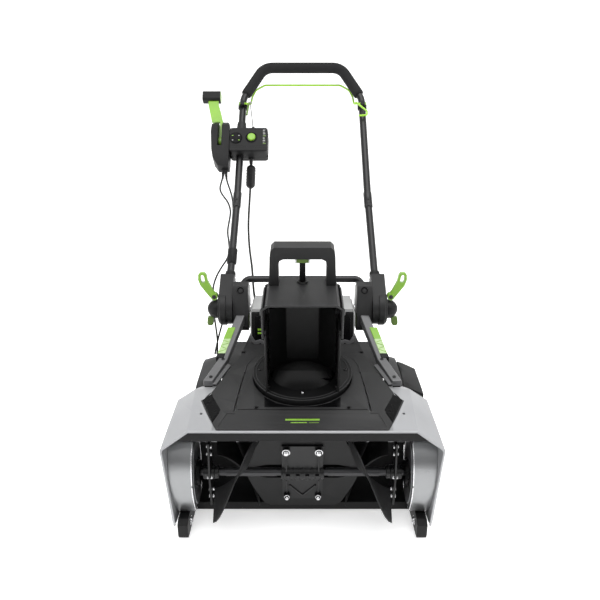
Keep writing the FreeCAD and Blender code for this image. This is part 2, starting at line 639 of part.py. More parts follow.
def lens_solid(q, mir):
    a, b, c, d = [V(*p) for p in q]
    n = (b - a).cross(d - a)
    n.normalize()
    if n.z < 0:
        n = n * -1
    c = c - n * ((c - a).dot(n))
    f = Part.Face(Part.makePolygon([a, b, c, d, a]))
    s = f.extrude(n * -7.0)
    s.translate(n * 0.6)
    return mirror(s) if mir else s, n


lens_l, lens_n = lens_solid(lens_q, False)
lens_l = lens_l.cut(outer)
lens_r = mirror(lens_l)
shroud = shroud.cut(lens_l).cut(lens_r)
for hx, hy in ((104, 66), (104, 205), (152, 292)):
    for sg in (1, -1):
        shroud = shroud.cut(cyl((sg * hx, hy, 250), (0, 0, 1), 4.3, 200))
shroud_main = biggest(shroud)
feature("top_shroud", shroud_main)
feature("headlight_lenses", Part.makeCompound([lens_l, lens_r]))

# ------------------------------------------------------------------ chute (own frame: z along the ring's axis)
RR = D("ring_rad")
turned("chute_ring", [(90.0, -34.0), (116.0, -34.0), (116.0, -6.0), (112.0, -6.0), (112.0, -28.0), (96.0, -28.0), (96.0, -6.0), (90.0, -6.0)],
       axis="z", frame=FRAME_CHUTE)
CHF, CFR, CBK, CW = D("chute_half"), D("chute_front"), D("chute_back"), D("chute_wall")
PY, PZ = D("hood_pivot_y"), D("hood_pivot_z")


def channel(half, front, backy, k, z0, z1, grow=0.0):
    """An open channel: two sides, two corner panels and a back, k thick, grown outwards."""
    t = math.tan(math.radians(22.5))
    hv, hu = 10 + t * grow, 42 + t * grow
    o = [(-half, -front), (-half, hv), (-hu, backy), (hu, backy), (half, hv), (half, -front)]
    i = [(half - k, -front), (half - k, hv - k * t), (hu - k * t, backy - k), (-hu + k * t, backy - k), (-half + k, hv - k * t), (-half + k, -front)]
    return extrude_xy(o + i, z0, z1)


def channel_block(half, front, backy, grow, z0, z1):
    """The channel's outer outline as a filled block."""
    t = math.tan(math.radians(22.5))
    return extrude_xy([(-half - grow, -front), (-half - grow, 10 + t * grow), (-42 - t * grow, backy + grow), (42 + t * grow, backy + grow),
                       (half + grow, 10 + t * grow), (half + grow, -front)], z0, z1)


flange = Part.makeCylinder(RR, 5.5, V(0, 0, -5.5)).cut(Part.makeCylinder(80.0, 10, V(0, 0, -8)))
flange = flange.fuse(Part.makeCylinder(110.5, 12.0, V(0, 0, -17.0)).cut(Part.makeCylinder(98.0, 14, V(0, 0, -18))))
chute = flange.fuse(channel(CHF, CFR, CBK, CW, 0.0, PZ - 4.0))
for sg in (1, -1):
    x0 = CHF - CW if sg > 0 else -CHF
    ear = extrude_yz([(PY - 22, PZ - 30), (PY, PZ - 30), (PY, PZ), (PY - 4, PZ + 8), (PY - 9, PZ + 12), (PY - 18, PZ + 12), (PY - 22, PZ + 6)], x0, x0 + CW)
    chute = chute.fuse(ear.cut(box(-100, 100, PY - 1, PY + 40, PZ - 4, PZ + 40)))
PYc = PY - 9.0
chute = chute.cut(cyl((-100, PYc, PZ), (1, 0, 0), 4.1, 200)).removeSplitter()
feature("chute", chute, FRAME_CHUTE)

HT = D("hood_top")
HG = CW + 1.0
hood = channel(CHF + HG, CFR + 4, CBK + HG, CW, PZ - 22.0, HT - CW, HG)
roof = extrude_xy([(-CHF - HG, -CFR - 4), (-CHF - HG, 12.07), (-44.07, CBK + HG), (44.07, CBK + HG), (CHF + HG, 12.07), (CHF + HG, -CFR - 4),
                   (CHF - 8, -CFR - 10), (-CHF + 8, -CFR - 10)], HT - CW, HT)
hood = hood.fuse(roof)
# roof corners are bevelled along both sides
for sg in (1, -1):
    hood = hood.cut(extrude_xz([(sg * 74, HT + 1), (sg * 96, HT + 1), (sg * 96, HT - 16)], -120, 80).cut(box(-85.5, 85.5, -200, 200, 0, HT - CW)))
# clear of the channel through the whole tilt
for k in range(1, 11):
    sw = channel_block(CHF, CFR, CBK, 0.35, 60.0, PZ - 3.7)
    sw.rotate(V(0, PYc, PZ), V(1, 0, 0), -3.1 * k)
    hood = hood.cut(sw)
hood = hood.cut(cyl((-100, PYc, PZ), (1, 0, 0), 4.1, 200))
hood = hood.cut(cyl((0, 22, HT - 20), (0, 0, 1), 7.6, 40)).removeSplitter()
feature("deflector_hood", biggest(hood), FRAME_CHUTE)
pins = []
for sg in (1, -1):
    p = cyl((sg * (CHF - CW - 3), PYc, PZ), (sg, 0, 0), 4.0, CW + HG + 6).fuse(cyl((sg * (CHF + HG + 0.2), PYc, PZ), (sg, 0, 0), 8.0, 4.0))
    p = p.fuse(cyl((sg * (CHF - CW - 3.5), PYc, PZ), (sg, 0, 0), 7.0, 3.2))
    pins.append(p.removeSplitter())
feature("deflector_pins", Part.makeCompound(pins), FRAME_CHUTE)

arch_o = [(-76, HT), (-73, HT + 70), (-71, HT + 84), (-63, HT + 92), (63, HT + 92), (71, HT + 84), (73, HT + 70), (76, HT), (54, HT), (54, HT + 52), (51, HT + 60), (43, HT + 64), (-43, HT + 64), (-51, HT + 60), (-54, HT + 52), (-54, HT)]
arch = extrude_xz(arch_o, 2, 42)
arch = arch.cut(box(-15.5, 15.5, 8, 36, HT + 47, HT + 75))
arch = arch.cut(extrude_xz([(73.9, HT + 1), (96, HT + 1), (96, HT - 16)], -120, 80)).cut(extrude_xz([(-73.9, HT + 1), (-96, HT + 1), (-96, HT - 16)], -120, 80))
feature("deflector_handle", biggest(arch), FRAME_CHUTE)
# the squeeze trigger sits under the arch and its stem goes down through the roof
btn = prism("trigger_wings", "XY_Plane", [[(-14.5, 10), (14.5, 10), (14.5, 34), (-14.5, 34)]], HT + 52.0, HT + 66.0, FRAME_CHUTE, keep=False)
stm = turned("trigger_rod", [(0, PZ + 30), (5.0, PZ + 30), (5.0, HT + 2), (7.0, HT + 6), (7.0, HT + 51.9), (0, HT + 51.9)], axis="z", frame=FRAME_CHUTE, base=(0, 22, 0), keep=False)
group("deflector_trigger", [btn, stm])

# ------------------------------------------------------------------ battery bay
bay = box(-BH - 4, BH + 4, BFR - 4, BB + 4, 200, BTOP).cut(box(-BH, BH, BFR, BB, 204, BTOP + 5))
door = box(-BH - 2, BH + 2, BFR + 2, BB + 3, BTOP + 1.0, BTOP + 9.0)
ear_l = cyl((-60, BFR - 1.0, BTOP + 6.0), (1, 0, 0), 5.4, 30).fuse(box(-60, -30, BFR - 1, BFR + 4, BTOP + 1, BTOP + 9.0))
ear_r = cyl((30, BFR - 1.0, BTOP + 6.0), (1, 0, 0), 5.4, 30).fuse(box(30, 60, BFR - 1, BFR + 4, BTOP + 1, BTOP + 9.0))
door = door.cut(box(-26, 26, 300, 352, 400, 500)).cut(box(59.6, 69.5, 300, 352, 400, 500)).cut(box(-69.5, -59.6, 300, 352, 400, 500)).fuse(ear_l).fuse(ear_r).cut(cyl((-100, BFR - 1.0, BTOP + 6.0), (1, 0, 0), 2.6, 200)).removeSplitter()
door = door.cut(box(-86, -60, BB - 18, BB - 12, BTOP + 7, BTOP + 12)).cut(box(60, 86, BB - 18, BB - 12, BTOP + 7, BTOP + 12))
feature("battery_door", door)
hp = cyl((-70, BFR - 1.0, BTOP + 6.0), (1, 0, 0), 2.5, 140)
brk = box(-25, 25, BFR - 6, BFR + 3.5, BTOP + 0.0, BTOP + 9.5).fuse(box(-68, -61, BFR - 6, BFR, BTOP, BTOP + 9.5)).fuse(box(61, 68, BFR - 6, BFR, BTOP, BTOP + 9.5))
feature("door_hinge_pin", hp)
bay = bay.fuse(brk.cut(cyl((-100, BFR - 1.0, BTOP + 6.0), (1, 0, 0), 2.5, 200))).removeSplitter()
feature("battery_bay", bay)
pack_b = box(-84, 84, BFR + 6, BB - 6, 206, BTOP - 16)
pack_b = pack_b.fuse(box(-34, 34, BFR + 20, BB - 20, BTOP - 16, BTOP - 6)).removeSplitter()
feature("battery_pack", pack_b)

# ------------------------------------------------------------------ struts, knuckles, crossbar
def strut(sg):
    rows = [(172.0, 228.0, 316.0, 12.0, 8.0), (262.0, 203.0, 328.0, 12.0, 9.0), (389.6, 168.0, 396.0, 12.0, 12.0)]
    secs = []
    for y, x, z, hw, hh in rows:
        secs.append([(sg * (x - hw), y, z - hh), (sg * (x + hw), y, z - hh), (sg * (x + hw), y, z + hh), (sg * (x - hw), y, z + hh)])
    return loft(secs)


def accent(sg):
    """The bright blade on the outer flank of a strut."""
    def sec(f, a, b):
        y = 262.0 + (389.6 - 262.0) * f
        x = 203.0 + (168.0 - 203.0) * f + 12.0
        z = 328.0 + 68.0 * f
        return [(sg * (x + 0.15), y, z + a), (sg * (x + 7.0), y, z + a), (sg * (x + 7.0), y, z + b), (sg * (x + 0.15), y, z + b)]
    blade = loft([sec(0.03, -6, 10), sec(0.70, -6, 12)])
    return blade


feature("struts", Part.makeCompound([strut(-1), strut(1)]))
feature("strut_accents", Part.makeCompound([accent(-1), accent(1)]))

cross_pts = [(-166, 447, 448), (-163, 470, 484), (163, 470, 484), (166, 447, 448)]
cross = pipe(cross_pts, 9.5, radii=[20.0, 20.0])
feature("crossbar", cross)
kn_view = [(390, 372), (402, 358), (438, 358), (452, 372), (456, 455), (444, 484), (424, 492), (402, 486), (390, 466)]
kn = []
for side, sg in (("right", 1), ("left", -1)):
    x0, x1 = (147.0, 187.5) if sg > 0 else (-187.5, -147.0)
    k = extrude_yz(kn_view, x0, x1)
    k = k.cut(cross).cut(cyl((-300, PIV.y, PIV.z), (1, 0, 0), 6.3, 600))
    kn.append(biggest(k))
feature("knuckle_plates", Part.makeCompound(kn))
bolts = []
for sg in (1, -1):
    b = cyl((sg * 142.0, PIV.y, PIV.z), (sg, 0, 0), 6.0, 92.0).fuse(cyl((sg * 140.0, PIV.y, PIV.z), (sg, 0, 0), 11.0, 6.8))
    bolts.append(b.removeSplitter())
feature("fold_bolts", Part.makeCompound(bolts))

# ------------------------------------------------------------------ folding handle (own frame: z up the tubes, y towards the rear)
TF, TL, TT, TTOP, TB, TCN = D("tube_foot_half"), D("tube_low_half"), D("tube_top_half"), D("tube_top"), D("tube_bend"), D("tube_corner_half")
half_pts = [(TF, 0, 40), (TL, 0, 338), (TT, 0, 675), (TCN, 0, TTOP)]
tube_pts = [(-x, y, z) for x, y, z in half_pts] + half_pts[::-1]
tube_r = [600.0, 60.0, TB, TB, 60.0, 600.0]
TR = D("tube_rad")
tube = pipe(tube_pts, TR, radii=tube_r)
tube_fit = pipe(tube_pts, TR + 0.1, radii=tube_r)
feature("handle_tube", tube, FRAME_HANDLE)


def line_x(s):
    """Half distance between the tube centres at a station up the straight run."""
    if s <= 338.0:
        return TF + (TL - TF) * (s - 40.0) / 298.0
    return TL + (TT - TL) * (s - 338.0) / 337.0


# the grip starts just above the outward bend and runs round the top
g_pts = [(-173.5, 0, 690.0), (-TCN, 0, TTOP), (TCN, 0, TTOP), (173.5, 0, 690.0)]
grip = pipe(g_pts, D("grip_rad"), radii=[TB, TB]).cut(tube_fit)
feature("foam_grip", biggest(grip), FRAME_HANDLE)
sock_view = []
for k in range(13):
    a = math.radians(180 + 15 * k)
    sock_view.append((44 * math.cos(a), 44 * math.sin(a)))
sock_view += [(38, 40), (22, 92), (-22, 92), (-38, 40)]
so = []
for side, sg in (("right", 1), ("left", -1)):
    x0, x1 = (188.5, 226.0) if sg > 0 else (-226.0, -188.5)
    s = extrude_yz(sock_view, x0, x1).cut(tube_fit).cut(cyl((-300, 0, 0), (1, 0, 0), 6.05, 600))
    so.append(biggest(s))
feature("handle_sockets", Part.makeCompound(so), FRAME_HANDLE)
cams = []
for side, sg in (("right", 1), ("left", -1)):
    pts = [(sg * 226.5, 6.4), (sg * 226.5, 24), (sg * 244, 24), (sg * 256, 17), (sg * 260, 8), (sg * 260, 0), (sg * 236, 0), (sg * 236, 6.4)]
    cams.append(turned("cam_" + side, pts, frame=FRAME_HANDLE, keep=False))
group("cam_bodies", cams)
for side, sg in (("right", 1), ("left", -1)):
    # the lever stands up and leans outward from the cam body; its eye is beside the dome
    p = [(232, 452), (234, 446), (247, 446), (253, 452), (266, 470), (276, 484), (281, 500), (280, 514), (275, 519), (264, 519), (259, 513), (256, 496), (244, 470)]
    s = extrude_xz([(sg * a, b) for a, b in p], 413.5, 426.5)
    eye = cyl((sg * 240, 411.0, 452), (0, 1, 0), 9.5, 18.0)
    s = s.cut(extrude_xz([(sg * a, b) for a, b in [(263, 492), (273, 492), (275, 508), (271, 513), (267, 513), (264, 506)]], 410, 430))
    s = s.fuse(eye).cut(cyl((sg * 240, 405, 452), (0, 1, 0), 3.0, 30)).removeSplitter()
    feature("cam_lever_" + side, s)

# bail: a pin in front of each tube, then a wire leg inside it, up to the bar under the grip
sl = math.radians(LEAN)


def to_local(p):
    """A point of the machine frame in the handle's own frame."""
    return FRAME_HANDLE.inverse().multVec(V(*p))


bail_half = [(190, 800, 938), (160, 800, 938), (160, 841.8, 935.4), (158, 872, 955), (148, 895, 975.1), (120, 912.7, 989.9)]
bail_p = [(-x, y, z) for x, y, z in bail_half] + bail_half[::-1]
bail = pipe([tuple(to_local(p)) for p in bail_p], D("bail_rad"), radii=[8.0, 18.0, 30.0, 30.0, 18.0, 18.0, 30.0, 30.0, 18.0, 8.0])
feature("bail_wire", bail, FRAME_HANDLE)
bl = to_local((0, 800, 938))
clips = []
for sg in (1, -1):
    xx = line_x(bl.z)
    ring = cyl((sg * xx, 0, bl.z - 7), (0, 0, 1), TR + 3.5, 14)
    arm = box(sg * xx - 6, sg * xx + 6, bl.y - 6.0, -TR + 2, bl.z - 7, bl.z + 7)
    s = ring.fuse(arm).cut(tube_fit).cut(cyl((-300, bl.y, bl.z), (1, 0, 0), 3.1, 600))
    clips.append(biggest(s))
feature("bail_brackets", Part.makeCompound(clips), FRAME_HANDLE)

# control box on the left tube
BL, BTA = D("box_low"), D("box_tall")
cb = box(-216, -103, -32, 22, BL, BL + BTA)
cb = rounded(cb, 9.0, "y")
cbore = tube_fit
front = cb.common(box(-300, 0, -40, 0, 0, 900)).cut(tube_fit)
rear = cb.common(box(-300, 0, 0.2, 40, 0, 900)).cut(tube_fit)
btn_at = (-151.0, BL + 47.0)
front = front.cut(cyl((btn_at[0], -40, btn_at[1]), (0, 1, 0), 12.6, 30))
feature("control_box_front", biggest(front), FRAME_HANDLE)
feature("control_box_rear", biggest(rear), FRAME_HANDLE)
FRAME_BUTTON = FRAME_HANDLE.multiply(FreeCAD.Placement(V(btn_at[0], -25.0, btn_at[1]), FreeCAD.Rotation(V(1, 0, 0), 90)))
turned("start_button", [(0, -9.0), (12.0, -9.0), (12.0, 11.0), (10.0, 13.0), (0, 13.0)], axis="z", frame=FRAME_BUTTON)

# chute-control housing beside the box, its lever and the T knob
ch_view = [(-28, BL - 44), (12, BL - 44), (22, BL - 20), (22, BL + 88), (10, BL + 106), (-20, BL + 106), (-34, BL + 90), (-34, BL - 20)]
hs = extrude_yz(ch_view, -272, -216.4)
hs = hs.common(extrude_xz([(-262, BL + 106), (-270, BL + 92), (-272, BL + 70), (-268, BL + 8), (-263, BL - 20), (-248, BL - 44), (-216.4, BL - 44), (-216.4, BL + 90), (-222, BL + 106)], -60, 60))
hs = hs.cut(box(-251, -239, -60, 14, BL + 20, BL + 130)).cut(box(-251, -239, -60, 40, BL + 58, BL + 130))
hs = hs.cut(cyl((-290, -4, BL + 48), (1, 0, 0), 5.05, 100))
feature("chute_control_housing", hs.removeSplitter(), FRAME_HANDLE)
lev = box(-249.5, -240.5, -9, 1, BL + 48, BL + 120).fuse(cyl((-249.5, -4, BL + 48), (1, 0, 0), 15.0, 9.0))
lev = lev.fuse(extrude_xz([(-275, BL + 119), (-270, BL + 116), (-240.5, BL + 116), (-245, BL + 136), (-249, BL + 152), (-257, BL + 180), (-257, BL + 190), (-288, BL + 190), (-288, BL + 178)], -9, 1))
lev = lev.fuse(cyl((-262, -4, BL + 48), (1, 0, 0), 5.0, 34)).removeSplitter()
knob = rounded(box(-306, -251, -18, 10, BL + 190.1, BL + 222), 7.0, "x")
feature("chute_lever", Part.makeCompound([lev, knob]), FRAME_HANDLE)

# ------------------------------------------------------------------ cables
CR, TC = D("cable_rad"), D("thin_cable_rad")
# power cable: from the box down through its ferrite sleeve, then free to the battery housing
POWER = [(-154.3, 714.9, 780.8), (-154.3, 713.5, 768), (-155.4, 711, 744), (-156.8, 706, 718), (-158.2, 696, 690), (-159.8, 681, 660),
         (-161.4, 662, 628), (-161.8, 638, 594), (-158.9, 610, 560), (-153.9, 580, 528), (-147, 550, 500), (-142.7, 520, 474),
         (-139.8, 494, 452), (-135, 470, 428), (-131, 463.4, 412)]
# two chute cables: down the left tube, past the knuckle and in behind the fender
CABLE_A = [(-234, 680.8, 752.3), (-233.5, 674.5, 741), (-239.6, 668.9, 723.9), (-245.6, 659.6, 702), (-235.8, 648.2, 685.6), (-218.3, 634.8, 668.1),
           (-209.2, 616.5, 644.3), (-213.3, 597, 619), (-217.4, 577.4, 593.6), (-212, 558.5, 569.1), (-208.6, 541, 544.7),
           (-214.4, 524.2, 526.1), (-227.2, 509, 510), (-240.5, 492, 490), (-250.2, 478, 465), (-251.7, 468, 440), (-250.5, 460, 412),
           (-248.5, 450, 384), (-243.8, 438, 356), (-238.5, 422, 328), (-236.4, 404, 302), (-236.9, 394, 289)]
CABLE_B = [(-227, 680.8, 752.5), (-226.7, 673.3, 739.4), (-222.3, 665, 720.5), (-213, 654.4, 698.5), (-205.7, 640.9, 676), (-202.4, 616.5, 644.3),
           (-202.3, 597, 619), (-202.8, 577.4, 593.6), (-203.6, 558.5, 569.1), (-204, 540.2, 545.3), (-205.4, 525.8, 524.9),
           (-209.1, 511, 495.9), (-213.1, 498.7, 470), (-218, 487, 441), (-221.5, 476, 412), (-221.5, 466, 386), (-225.8, 456, 362),
           (-233.5, 442, 336), (-239.7, 424, 312), (-242.7, 405, 296), (-243, 396, 289)]
pc = pipe(POWER, CR, name="power_cable")
feature("power_cable", pc)
fa, fb = V(*POWER[2]), V(*POWER[3])
fd = (fb - fa)
fd.normalize()
fc = (fa + fb) * 0.5
ferrite = Part.makeCylinder(13.5, 56.0, fc - fd * 28.0, fd).cut(pipe(POWER, CR + 0.25))
feature("cable_ferrite", biggest(ferrite))
feature("chute_cable_a", pipe(CABLE_A, TC, name="chute_cable_a"))
feature("chute_cable_b", pipe(CABLE_B, TC, name="chute_cable_b"))

doc.recompute()

# ------------------------------------------------------------------ check and write
bad = []
for o in doc.Objects:
    if "Invalid" in o.State or "Error" in o.State:
        bad.append("%s state %s" % (o.Label, o.State))
for o in NODES:
    s = o.Shape
    if s.isNull() or not s.isValid():
        bad.append("%s shape" % o.Label)
    elif s.Volume < 1:
        bad.append("%s has no volume" % o.Label)
if bad:
    raise RuntimeError("; ".join(bad))
os.makedirs("parts", exist_ok=True)
for o in NODES:
    o.Shape.exportStep("parts/%s.step" % o.Label)
box_all = None
for o in NODES:
    bb = o.Shape.BoundBox
    box_all = bb if box_all is None else box_all.united(bb)
print("nodes", len(NODES), "box", box_all)
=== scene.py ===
"""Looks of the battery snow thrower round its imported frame.  Metres, in the frame's own axes."""
import math
import random
import bpy
import bmesh
from mathutils import Vector, Matrix
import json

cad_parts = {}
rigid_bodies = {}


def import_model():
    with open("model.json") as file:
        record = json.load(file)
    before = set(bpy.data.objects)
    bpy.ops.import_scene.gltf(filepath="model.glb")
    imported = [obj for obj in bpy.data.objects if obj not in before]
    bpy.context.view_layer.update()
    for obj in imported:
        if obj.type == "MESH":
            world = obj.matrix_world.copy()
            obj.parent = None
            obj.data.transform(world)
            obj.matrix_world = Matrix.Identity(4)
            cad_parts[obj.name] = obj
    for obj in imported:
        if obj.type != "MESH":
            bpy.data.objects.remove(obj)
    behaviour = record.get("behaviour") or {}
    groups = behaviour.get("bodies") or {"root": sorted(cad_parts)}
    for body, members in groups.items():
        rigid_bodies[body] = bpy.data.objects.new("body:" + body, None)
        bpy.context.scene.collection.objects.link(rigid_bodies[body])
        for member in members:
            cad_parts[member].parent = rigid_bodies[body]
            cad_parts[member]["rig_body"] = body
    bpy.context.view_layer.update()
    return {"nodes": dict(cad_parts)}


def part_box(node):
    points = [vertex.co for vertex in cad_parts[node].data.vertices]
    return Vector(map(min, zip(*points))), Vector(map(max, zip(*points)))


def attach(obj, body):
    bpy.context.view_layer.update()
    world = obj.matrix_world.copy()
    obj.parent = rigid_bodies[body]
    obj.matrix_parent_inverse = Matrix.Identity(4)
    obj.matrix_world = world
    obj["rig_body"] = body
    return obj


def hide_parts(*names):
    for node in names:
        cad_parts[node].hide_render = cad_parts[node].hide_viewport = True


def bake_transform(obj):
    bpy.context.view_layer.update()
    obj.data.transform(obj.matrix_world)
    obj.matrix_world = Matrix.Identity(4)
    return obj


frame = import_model()
N = frame["nodes"]
scene = bpy.context.scene
rng = random.Random(11)

# ------------------------------------------------------------------ frames of reference
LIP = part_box("front_lip")[0].y - 0.002          # y of the intake's front lip
TILT, LEAN = math.radians(7.0), math.radians(-37.59)


def M(x, y, z):
    """Machine frame, millimetres: y from the lip, z from the ground."""
    return Vector((x / 1000.0, y / 1000.0 + LIP, z / 1000.0))


def C(u, v, w):
    """Chute frame: w along the ring's axis from the top of its rim."""
    return M(u, 190 + v * math.cos(TILT) - w * math.sin(TILT), 341 + v * math.sin(TILT) + w * math.cos(TILT))


def H(x, y, z):
    """Handle frame: z up the tubes from the fold pivot, y towards the rear."""
    return M(x, 420 + y * math.cos(LEAN) - z * math.sin(LEAN), 417 + y * math.sin(LEAN) + z * math.cos(LEAN))


# ------------------------------------------------------------------ camera
cam_data = bpy.data.cameras.new("camera")
cam = bpy.data.objects.new("camera", cam_data)
scene.collection.objects.link(cam)
cam_data.sensor_width = 36.0
cam_data.lens = 36.0
cam_data.shift_x = -2.5 / 600.0
cam_data.clip_end = 50.0
cam.location = M(0, -1121, 1001)
cam.rotation_euler = (math.radians(70.0), 0, 0)
scene.camera = cam
scene.view_settings.view_transform = "Standard"
scene.view_settings.look = "None"

# ------------------------------------------------------------------ materials
MATS = {}


def ramp_node(nt, a, b, ca, cb):
    r = nt.nodes.new("ShaderNodeValToRGB")
    r.color_ramp.elements[0].position = a
    r.color_ramp.elements[1].position = b
    r.color_ramp.elements[0].color = (*ca, 1)
    r.color_ramp.elements[1].color = (*cb, 1)
    return r


def pbr(name, color, rough=0.5, metal=0.0, grain=900.0, bump=0.10, depth=0.0002, var=0.12, wear=0.0, coat=0.0,
        wear_color=None, big=18.0, spec=0.5, brushed=None):
    """Principled surface with fine moulded or cast grain, uneven gloss, slight colour drift and edge wear."""
    m = bpy.data.materials.new(name)
    m.use_nodes = True
    nt = m.node_tree
    p = nt.nodes["Principled BSDF"]
    tc = nt.nodes.new("ShaderNodeTexCoord")
    n1 = nt.nodes.new("ShaderNodeTexNoise")
    n1.inputs["Scale"].default_value = grain
    n1.inputs["Detail"].default_value = 3.0
    n2 = nt.nodes.new("ShaderNodeTexNoise")
    n2.inputs["Scale"].default_value = big
    n2.inputs["Detail"].default_value = 4.0
    src = tc.outputs["Object"]
    if brushed:
        mp = nt.nodes.new("ShaderNodeMapping")
        mp.inputs["Scale"].default_value = brushed
        nt.links.new(src, mp.inputs["Vector"])
        nt.links.new(mp.outputs["Vector"], n1.inputs["Vector"])
    else:
        nt.links.new(src, n1.inputs["Vector"])
    nt.links.new(src, n2.inputs["Vector"])
    lo = tuple(c * (1 - var) for c in color)
    hi = tuple(min(1.0, c * (1 + var)) for c in color)
    r = ramp_node(nt, 0.35, 0.65, lo, hi)
    nt.links.new(n2.outputs["Fac"], r.inputs["Fac"])
    last = r.outputs["Color"]
    if wear > 0:
        geo = nt.nodes.new("ShaderNodeNewGeometry")
        wr = ramp_node(nt, 0.53, 0.60, (0, 0, 0), (1, 1, 1))
        nt.links.new(geo.outputs["Pointiness"], wr.inputs["Fac"])
        mu = nt.nodes.new("ShaderNodeMath")
        mu.operation = "MULTIPLY"
        nt.links.new(wr.outputs["Color"], mu.inputs[0])
        mu.inputs[1].default_value = wear
        mx = nt.nodes.new("ShaderNodeMix")
        mx.data_type = "RGBA"
        nt.links.new(mu.outputs[0], mx.inputs["Factor"])
        nt.links.new(last, mx.inputs["A"])
        wc = wear_color or tuple(min(1.0, c * 1.9 + 0.03) for c in color)
        mx.inputs["B"].default_value = (*wc, 1)
        last = mx.outputs["Result"]
    nt.links.new(last, p.inputs["Base Color"])
    mr = nt.nodes.new("ShaderNodeMapRange")
    mr.inputs["To Min"].default_value = max(0.03, rough - 0.07)
    mr.inputs["To Max"].default_value = min(1.0, rough + 0.07)
    nt.links.new(n2.outputs["Fac"], mr.inputs["Value"])
    nt.links.new(mr.outputs["Result"], p.inputs["Roughness"])
    b = nt.nodes.new("ShaderNodeBump")
    b.inputs["Strength"].default_value = bump
    b.inputs["Distance"].default_value = depth
    nt.links.new(n1.outputs["Fac"], b.inputs["Height"])
    nt.links.new(b.outputs["Normal"], p.inputs["Normal"])
    p.inputs["Metallic"].default_value = metal
    p.inputs["Specular IOR Level"].default_value = spec
    p.inputs["Coat Weight"].default_value = coat
    p.inputs["Coat Roughness"].default_value = 0.15
    m.diffuse_color = (*color, 1)
    MATS[name] = m
    return m


silver = pbr("silver_paint", (0.30, 0.304, 0.313), 0.42, metal=0.45, grain=1500, bump=0.05, var=0.03, wear=0.25, coat=0.1, wear_color=(0.6, 0.6, 0.61))
silver_in = pbr("silver_inside", (0.27, 0.275, 0.28), 0.30, metal=0.8, grain=900, bump=0.012, var=0.03)
black = pbr("black_plastic", (0.0045, 0.0045, 0.0047), 0.50, grain=1400, bump=0.16, var=0.12, wear=0.12, spec=0.20, wear_color=(0.02, 0.02, 0.02))
black_gloss = pbr("black_gloss", (0.0020, 0.0020, 0.0022), 0.28, grain=2500, bump=0.004, var=0.1, spec=0.08)
charcoal = pbr("charcoal_plastic", (0.017, 0.017, 0.0174), 0.50, grain=1500, bump=0.16, var=0.06, wear=0.15, spec=0.25, wear_color=(0.06, 0.06, 0.06))
dark = pbr("dark_plastic", (0.0095, 0.0095, 0.0098), 0.48, grain=1400, bump=0.16, var=0.08, wear=0.15, spec=0.25, wear_color=(0.04, 0.04, 0.04))
grey = pbr("grey_plastic", (0.26, 0.262, 0.26), 0.5, grain=1400, bump=0.12, var=0.04, wear=0.1)
strut_grey = pbr("strut_grey", (0.125, 0.125, 0.128), 0.36, metal=0.45, grain=1200, bump=0.06, var=0.05, wear=0.2)
steel_black = pbr("black_steel", (0.005, 0.005, 0.0054), 0.33, metal=0.0, grain=900, bump=0.08, var=0.1, wear=0.2, coat=0.08, spec=0.3, wear_color=(0.03, 0.03, 0.03))
steel = pbr("bright_steel", (0.72, 0.72, 0.73), 0.24, metal=1.0, grain=500, bump=0.04, var=0.06)
shaft_grey = pbr("shaft_grey", (0.045, 0.045, 0.047), 0.30, metal=0.7, grain=500, bump=0.05, var=0.08)
rubber = pbr("paddle_rubber", (0.0075, 0.0075, 0.0078), 0.50, grain=1100, bump=0.2, var=0.12, wear=0.15, spec=0.25, wear_color=(0.03, 0.03, 0.03))
tyre_m = pbr("tyre_rubber", (0.010, 0.010, 0.010), 0.7, grain=1300, bump=0.3, var=0.12, wear=0.2, spec=0.25, wear_color=(0.03, 0.03, 0.03))
foam = pbr("foam", (0.010, 0.010, 0.0105), 0.8, grain=2200, bump=0.5, depth=0.0004, var=0.12, spec=0.2)
green = pbr("green_plastic", (0.155, 0.33, 0.012), 0.38, grain=1200, bump=0.10, var=0.05, wear=0.12, coat=0.1, wear_color=(0.25, 0.45, 0.05))
green_pale = pbr("green_pale", (0.36, 0.50, 0.23), 0.35, grain=900, bump=0.05, var=0.10)
green_dark = pbr("green_shade", (0.08, 0.15, 0.012), 0.45, grain=1200, bump=0.10, var=0.06)
wire_green = pbr("green_wire", (0.24, 0.48, 0.012), 0.32, grain=900, bump=0.04, var=0.04, coat=0.2)
cable_m = pbr("cable_rubber", (0.0065, 0.0065, 0.007), 0.45, grain=1500, bump=0.10, var=0.1, spec=0.3)
alu = pbr("motor_metal", (0.55, 0.55, 0.56), 0.4, metal=1.0, grain=400, bump=0.15, var=0.08)
board = pbr("board", (0.01, 0.06, 0.02), 0.35, grain=300, bump=0.05, var=0.2)
led = pbr("lamp_reflector", (0.6, 0.6, 0.62), 0.15, metal=1.0, grain=300, bump=0.02, var=0.05)
# a darker green standing in for a green part in shade: painted shade
shaded_green = pbr("green_in_painted_shade", (0.045, 0.07, 0.008), 0.5, grain=900, bump=0.1, var=0.15)


# ------------------------------------------------------------------ mesh helpers
def obj_from(name, verts, faces, mat, body, bevel=0.0, segs=3, slot=None, replaces=(), angle=35.0, smooth=True, holes=()):
    me = bpy.data.meshes.new(name)
    me.from_pydata([tuple(v) for v in verts], [], faces)
    me.validate()
    bm = bmesh.new()
    bm.from_mesh(me)
    bmesh.ops.recalc_face_normals(bm, faces=bm.faces)
    bm.to_mesh(me)
    bm.free()
    return wrap(name, me, mat, body, bevel, segs, replaces, angle, smooth)


